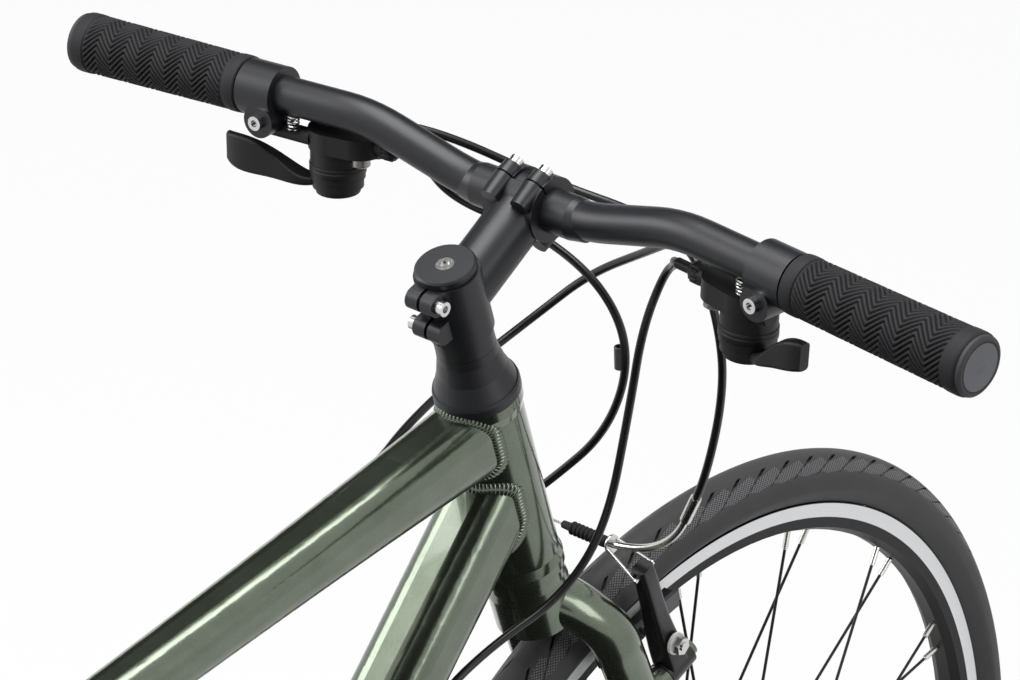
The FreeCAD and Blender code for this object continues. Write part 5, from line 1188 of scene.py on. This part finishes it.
def make_saddle():
    """Foam pad under a tight cover, with a long relief down the middle and a sewn edge."""
    pad = show("saddle_pad", mesh_of("saddle_pad", merged("saddle_cover")))
    remesh = pad.modifiers.new("even", "REMESH")
    remesh.mode = "VOXEL"
    remesh.voxel_size = PAD_VOXEL
    keep_shape(pad)
    for corner in pad.data.vertices:
        corner.co -= corner.normal * PAD_INSET
    puff(pad)
    for corner in pad.data.vertices:
        spot = corner.co - SADDLE_AT
        top = min(1.0, max(0.0, (corner.co.z - RELIEF_FLOOR) / RELIEF_BLEND))
        reach = min(1.0, max(0.0, (RELIEF_HALF - abs(spot.x - RELIEF_MIDDLE)) / RELIEF_FADE))
        corner.co.z -= RELIEF_DEPTH * top * reach * math.exp(-((spot.y / RELIEF_WIDTH) ** 2))
    smooth = pad.modifiers.new("round", "SUBSURF")
    smooth.levels = 1
    smooth.render_levels = 1
    keep_shape(pad)
    for face in pad.data.polygons:
        face.use_smooth = True
    pad.data.materials.clear()
    pad.data.materials.append(MATERIALS["saddle_leather"])
    seat_piece(pad, "frame", "saddle_skin", "saddle_cover")
    sewn = sewn_edge().grow("saddle_seam", level_line(pad.data, WELT_AT))
    seat_piece(sewn, "frame", "saddle_skin")


# Finishes on the nodes

NODE_FINISHES = {
    "green_paint": ("head_tube", "top_tube", "down_tube", "seat_tube", "bottom_bracket_shell", "chainstays",
                    "seatstays", "rear_dropouts", "frame_fittings", "fork_crown", "fork_blades"),
    "satin_black": ("stem", "stem_faceplate", "top_cap", "handlebar", "headset_cover", "brake_lever_left",
                    "brake_lever_right", "seat_clamp", "seatpost", "brake_brackets"),
    "gloss_black": ("front_hub", "rear_hub", "crank_arms", "derailleur_bodies"),
    "moulded_black": ("shifter_pods", "thumb_lever_left", "thumb_lever_right", "release_lever_left",
                      "release_lever_right", "jockey_upper", "jockey_lower"),
    "bright_steel": ("cockpit_bolts", "fork_steerer", "front_axle", "rear_axle", "bearing_cups"),
    "drive_steel": ("cassette", "rear_derailleur_cage", "front_derailleur_cage"),
    "dark_steel": ("chainrings",),
    "plug_finish": ("bar_end_plugs",),
    "front_rim_finish": ("front_rim",),
    "rear_rim_finish": ("rear_rim",),
    "front_spoke_finish": ("front_spokes",),
    "rear_spoke_finish": ("rear_spokes",),
}
ARM_LENGTH = 0.09
SHOE_REACH = 0.0205
HOLDER_REACH = 0.0245
WASHER_WIDTH = (0.0015, 0.003)
SHELL_LENGTH = 0.25
CLAMP_WIDTH = 0.05


def finish_nodes():
    for name, nodes in NODE_FINISHES.items():
        for node in nodes:
            for place in NODES[node].material_slots:
                place.material = MATERIALS[name]


def brake_part(middle, size):
    """0 the arm, 1 shoe rubber, 2 shoe holder, 3 bolts and nuts, 4 washers, by place and size."""
    reach = abs(middle.y)
    if max(size) > ARM_LENGTH:
        return 0
    if reach < SHOE_REACH:
        return 1
    if reach < HOLDER_REACH:
        return 2
    return 4 if WASHER_WIDTH[0] < size.y < WASHER_WIDTH[1] else 3


def saddle_part(middle, size):
    """0 the shell, 1 the clamp across, 2 the rails."""
    if size.x > SHELL_LENGTH:
        return 0
    return 1 if size.y > CLAMP_WIDTH else 2


def dress_nodes():
    brake = ("gloss_black", "brake_rubber", "holder_grey", "bright_steel", "washer_white")
    for end in AXLES:
        for side in MIRRORS:
            dress(f"{end}_brake_arm_{side}", "black_alloy", brake_part, *brake)
    for side in MIRRORS:
        dress("pedal_" + side, "black_plastic", None, "moulded_black")
    dress("saddle_base", "black_plastic", saddle_part, "moulded_black", "gloss_black", "bright_steel")


# Studio

# Black cards: place, aim, width, depth
CARDS = {
    "front_card": ((1.25, 1.35, 2.2), (0.25, 0.0, 0.85), 3.0, 2.4),
    "floor_card": ((-0.75, -0.6, 0.004), (-0.75, -0.6, 1.0), 2.4, 2.6),
    "back_card": ((-2.0, -1.7, 1.9), (0.25, 0.0, 0.85), 3.4, 2.8),
}
# Soft boxes: place, aim, width, depth, watts
BOXES = {
    "top_box": ((0.1, 0.3, 2.9), (0.25, 0.0, 0.8), 2.2, 1.4, 62.0),
    "left_box": ((-1.0, 2.2, 2.0), (0.3, 0.0, 0.8), 1.2, 1.6, 34.0),
    "right_box": ((0.4, -2.6, 1.7), (0.3, 0.0, 0.7), 1.0, 1.4, 16.0),
}
WHITE = (1.0, 1.0, 1.0, 1.0)
FLOOR_GREY = (0.86, 0.86, 0.86, 1.0)
CARD_BLACK = (0.01, 0.01, 0.01, 1.0)
EYE_AT = (-1.2444, -1.3193, 1.8886)
EYE_RIGHT = Vector((0.6451, -0.7638, 0.0188)).normalized()
EYE_AHEAD = Vector((0.6903, 0.5721, -0.4429)).normalized()


def camera_rays(board):
    path = board.node("LightPath", out="Is Camera Ray")
    return path + path.of("Is Glossy Ray") + path.of("Is Transmission Ray")


def studio_sheet(name, segments, size):
    """A flat sheet, and the board of its own material."""
    form = bmesh.new()
    bmesh.ops.create_grid(form, x_segments=segments, y_segments=segments, size=size)
    sheet = show(name, mesh_of(name, form))
    material = bpy.data.materials.new(name)
    material.use_nodes = True
    sheet.data.materials.append(material)
    return sheet, Board(material.node_tree)


def make_stage():
    """Pale floor that keeps a soft shadow, and a white surround."""
    floor, board = studio_sheet("studio_floor", 8, 16.0)
    matt = board.node("BsdfDiffuse", {"Color": FLOOR_GREY})
    glow = board.node("Emission", {"Color": WHITE, "Strength": 1.0})
    mixed = board.node("MixShader", {0: camera_rays(board) * 0.94, 1: matt, 2: glow})
    board.node("OutputMaterial", {"Surface": mixed})
    world = bpy.data.worlds.new("studio_surround")
    world.use_nodes = True
    bpy.context.scene.world = world
    board = Board(world.node_tree)
    strength = 0.3 + camera_rays(board) * 0.7
    sky = board.node("Background", {"Color": WHITE, "Strength": strength})
    board.node("OutputWorld", {"Surface": sky})


def dark_card(name, at, aim, width, depth):
    """Black studio card, only mirrored in the gloss, that gives dark forms their edges."""
    card, board = studio_sheet(name, 1, 0.5)
    turn = (Vector(aim) - Vector(at)).to_track_quat("Z", "Y").to_matrix().to_4x4()
    card.data.transform(Matrix.Translation(at) @ turn @ Matrix.Diagonal((width, depth, 1.0, 1.0)))
    matt = board.node("BsdfDiffuse", {"Color": CARD_BLACK})
    board.node("OutputMaterial", {"Surface": matt})
    card.visible_camera = False
    card.visible_diffuse = False
    card.visible_shadow = False


def soft_box(name, at, aim, width, depth, watts):
    lamp = bpy.data.lights.new(name, "AREA")
    lamp.shape = "RECTANGLE"
    lamp.size = width
    lamp.size_y = depth
    lamp.energy = watts
    holder = show(name, lamp)
    holder.location = at
    holder.rotation_euler = (Vector(aim) - Vector(at)).to_track_quat("-Z", "Y").to_euler()
    holder.visible_camera = False


def make_studio():
    make_stage()
    for name, facts in CARDS.items():
        dark_card(name, *facts)
    for name, facts in BOXES.items():
        soft_box(name, *facts)
    eye = bpy.data.cameras.new("photo_camera")
    eye.sensor_fit = "HORIZONTAL"
    eye.sensor_width = 36.0
    eye.lens = 145.25
    eye.clip_end = 100.0
    camera = show("photo_camera", eye)
    up = EYE_RIGHT.cross(EYE_AHEAD).normalized()
    turn = Matrix((EYE_RIGHT, up, -EYE_AHEAD)).transposed().to_4x4()
    camera.matrix_world = Matrix.Translation(EYE_AT) @ turn
    bpy.context.scene.camera = camera
    bpy.context.scene.view_settings.view_transform = "Standard"


make_finishes()
make_studio()
make_housings()
make_brake_lines()
finish_nodes()
make_chain()
make_lever_springs()
make_adjusters()
make_pod_trim()
dress_nodes()
make_grips()
make_tyres()
make_welds()
make_saddle()
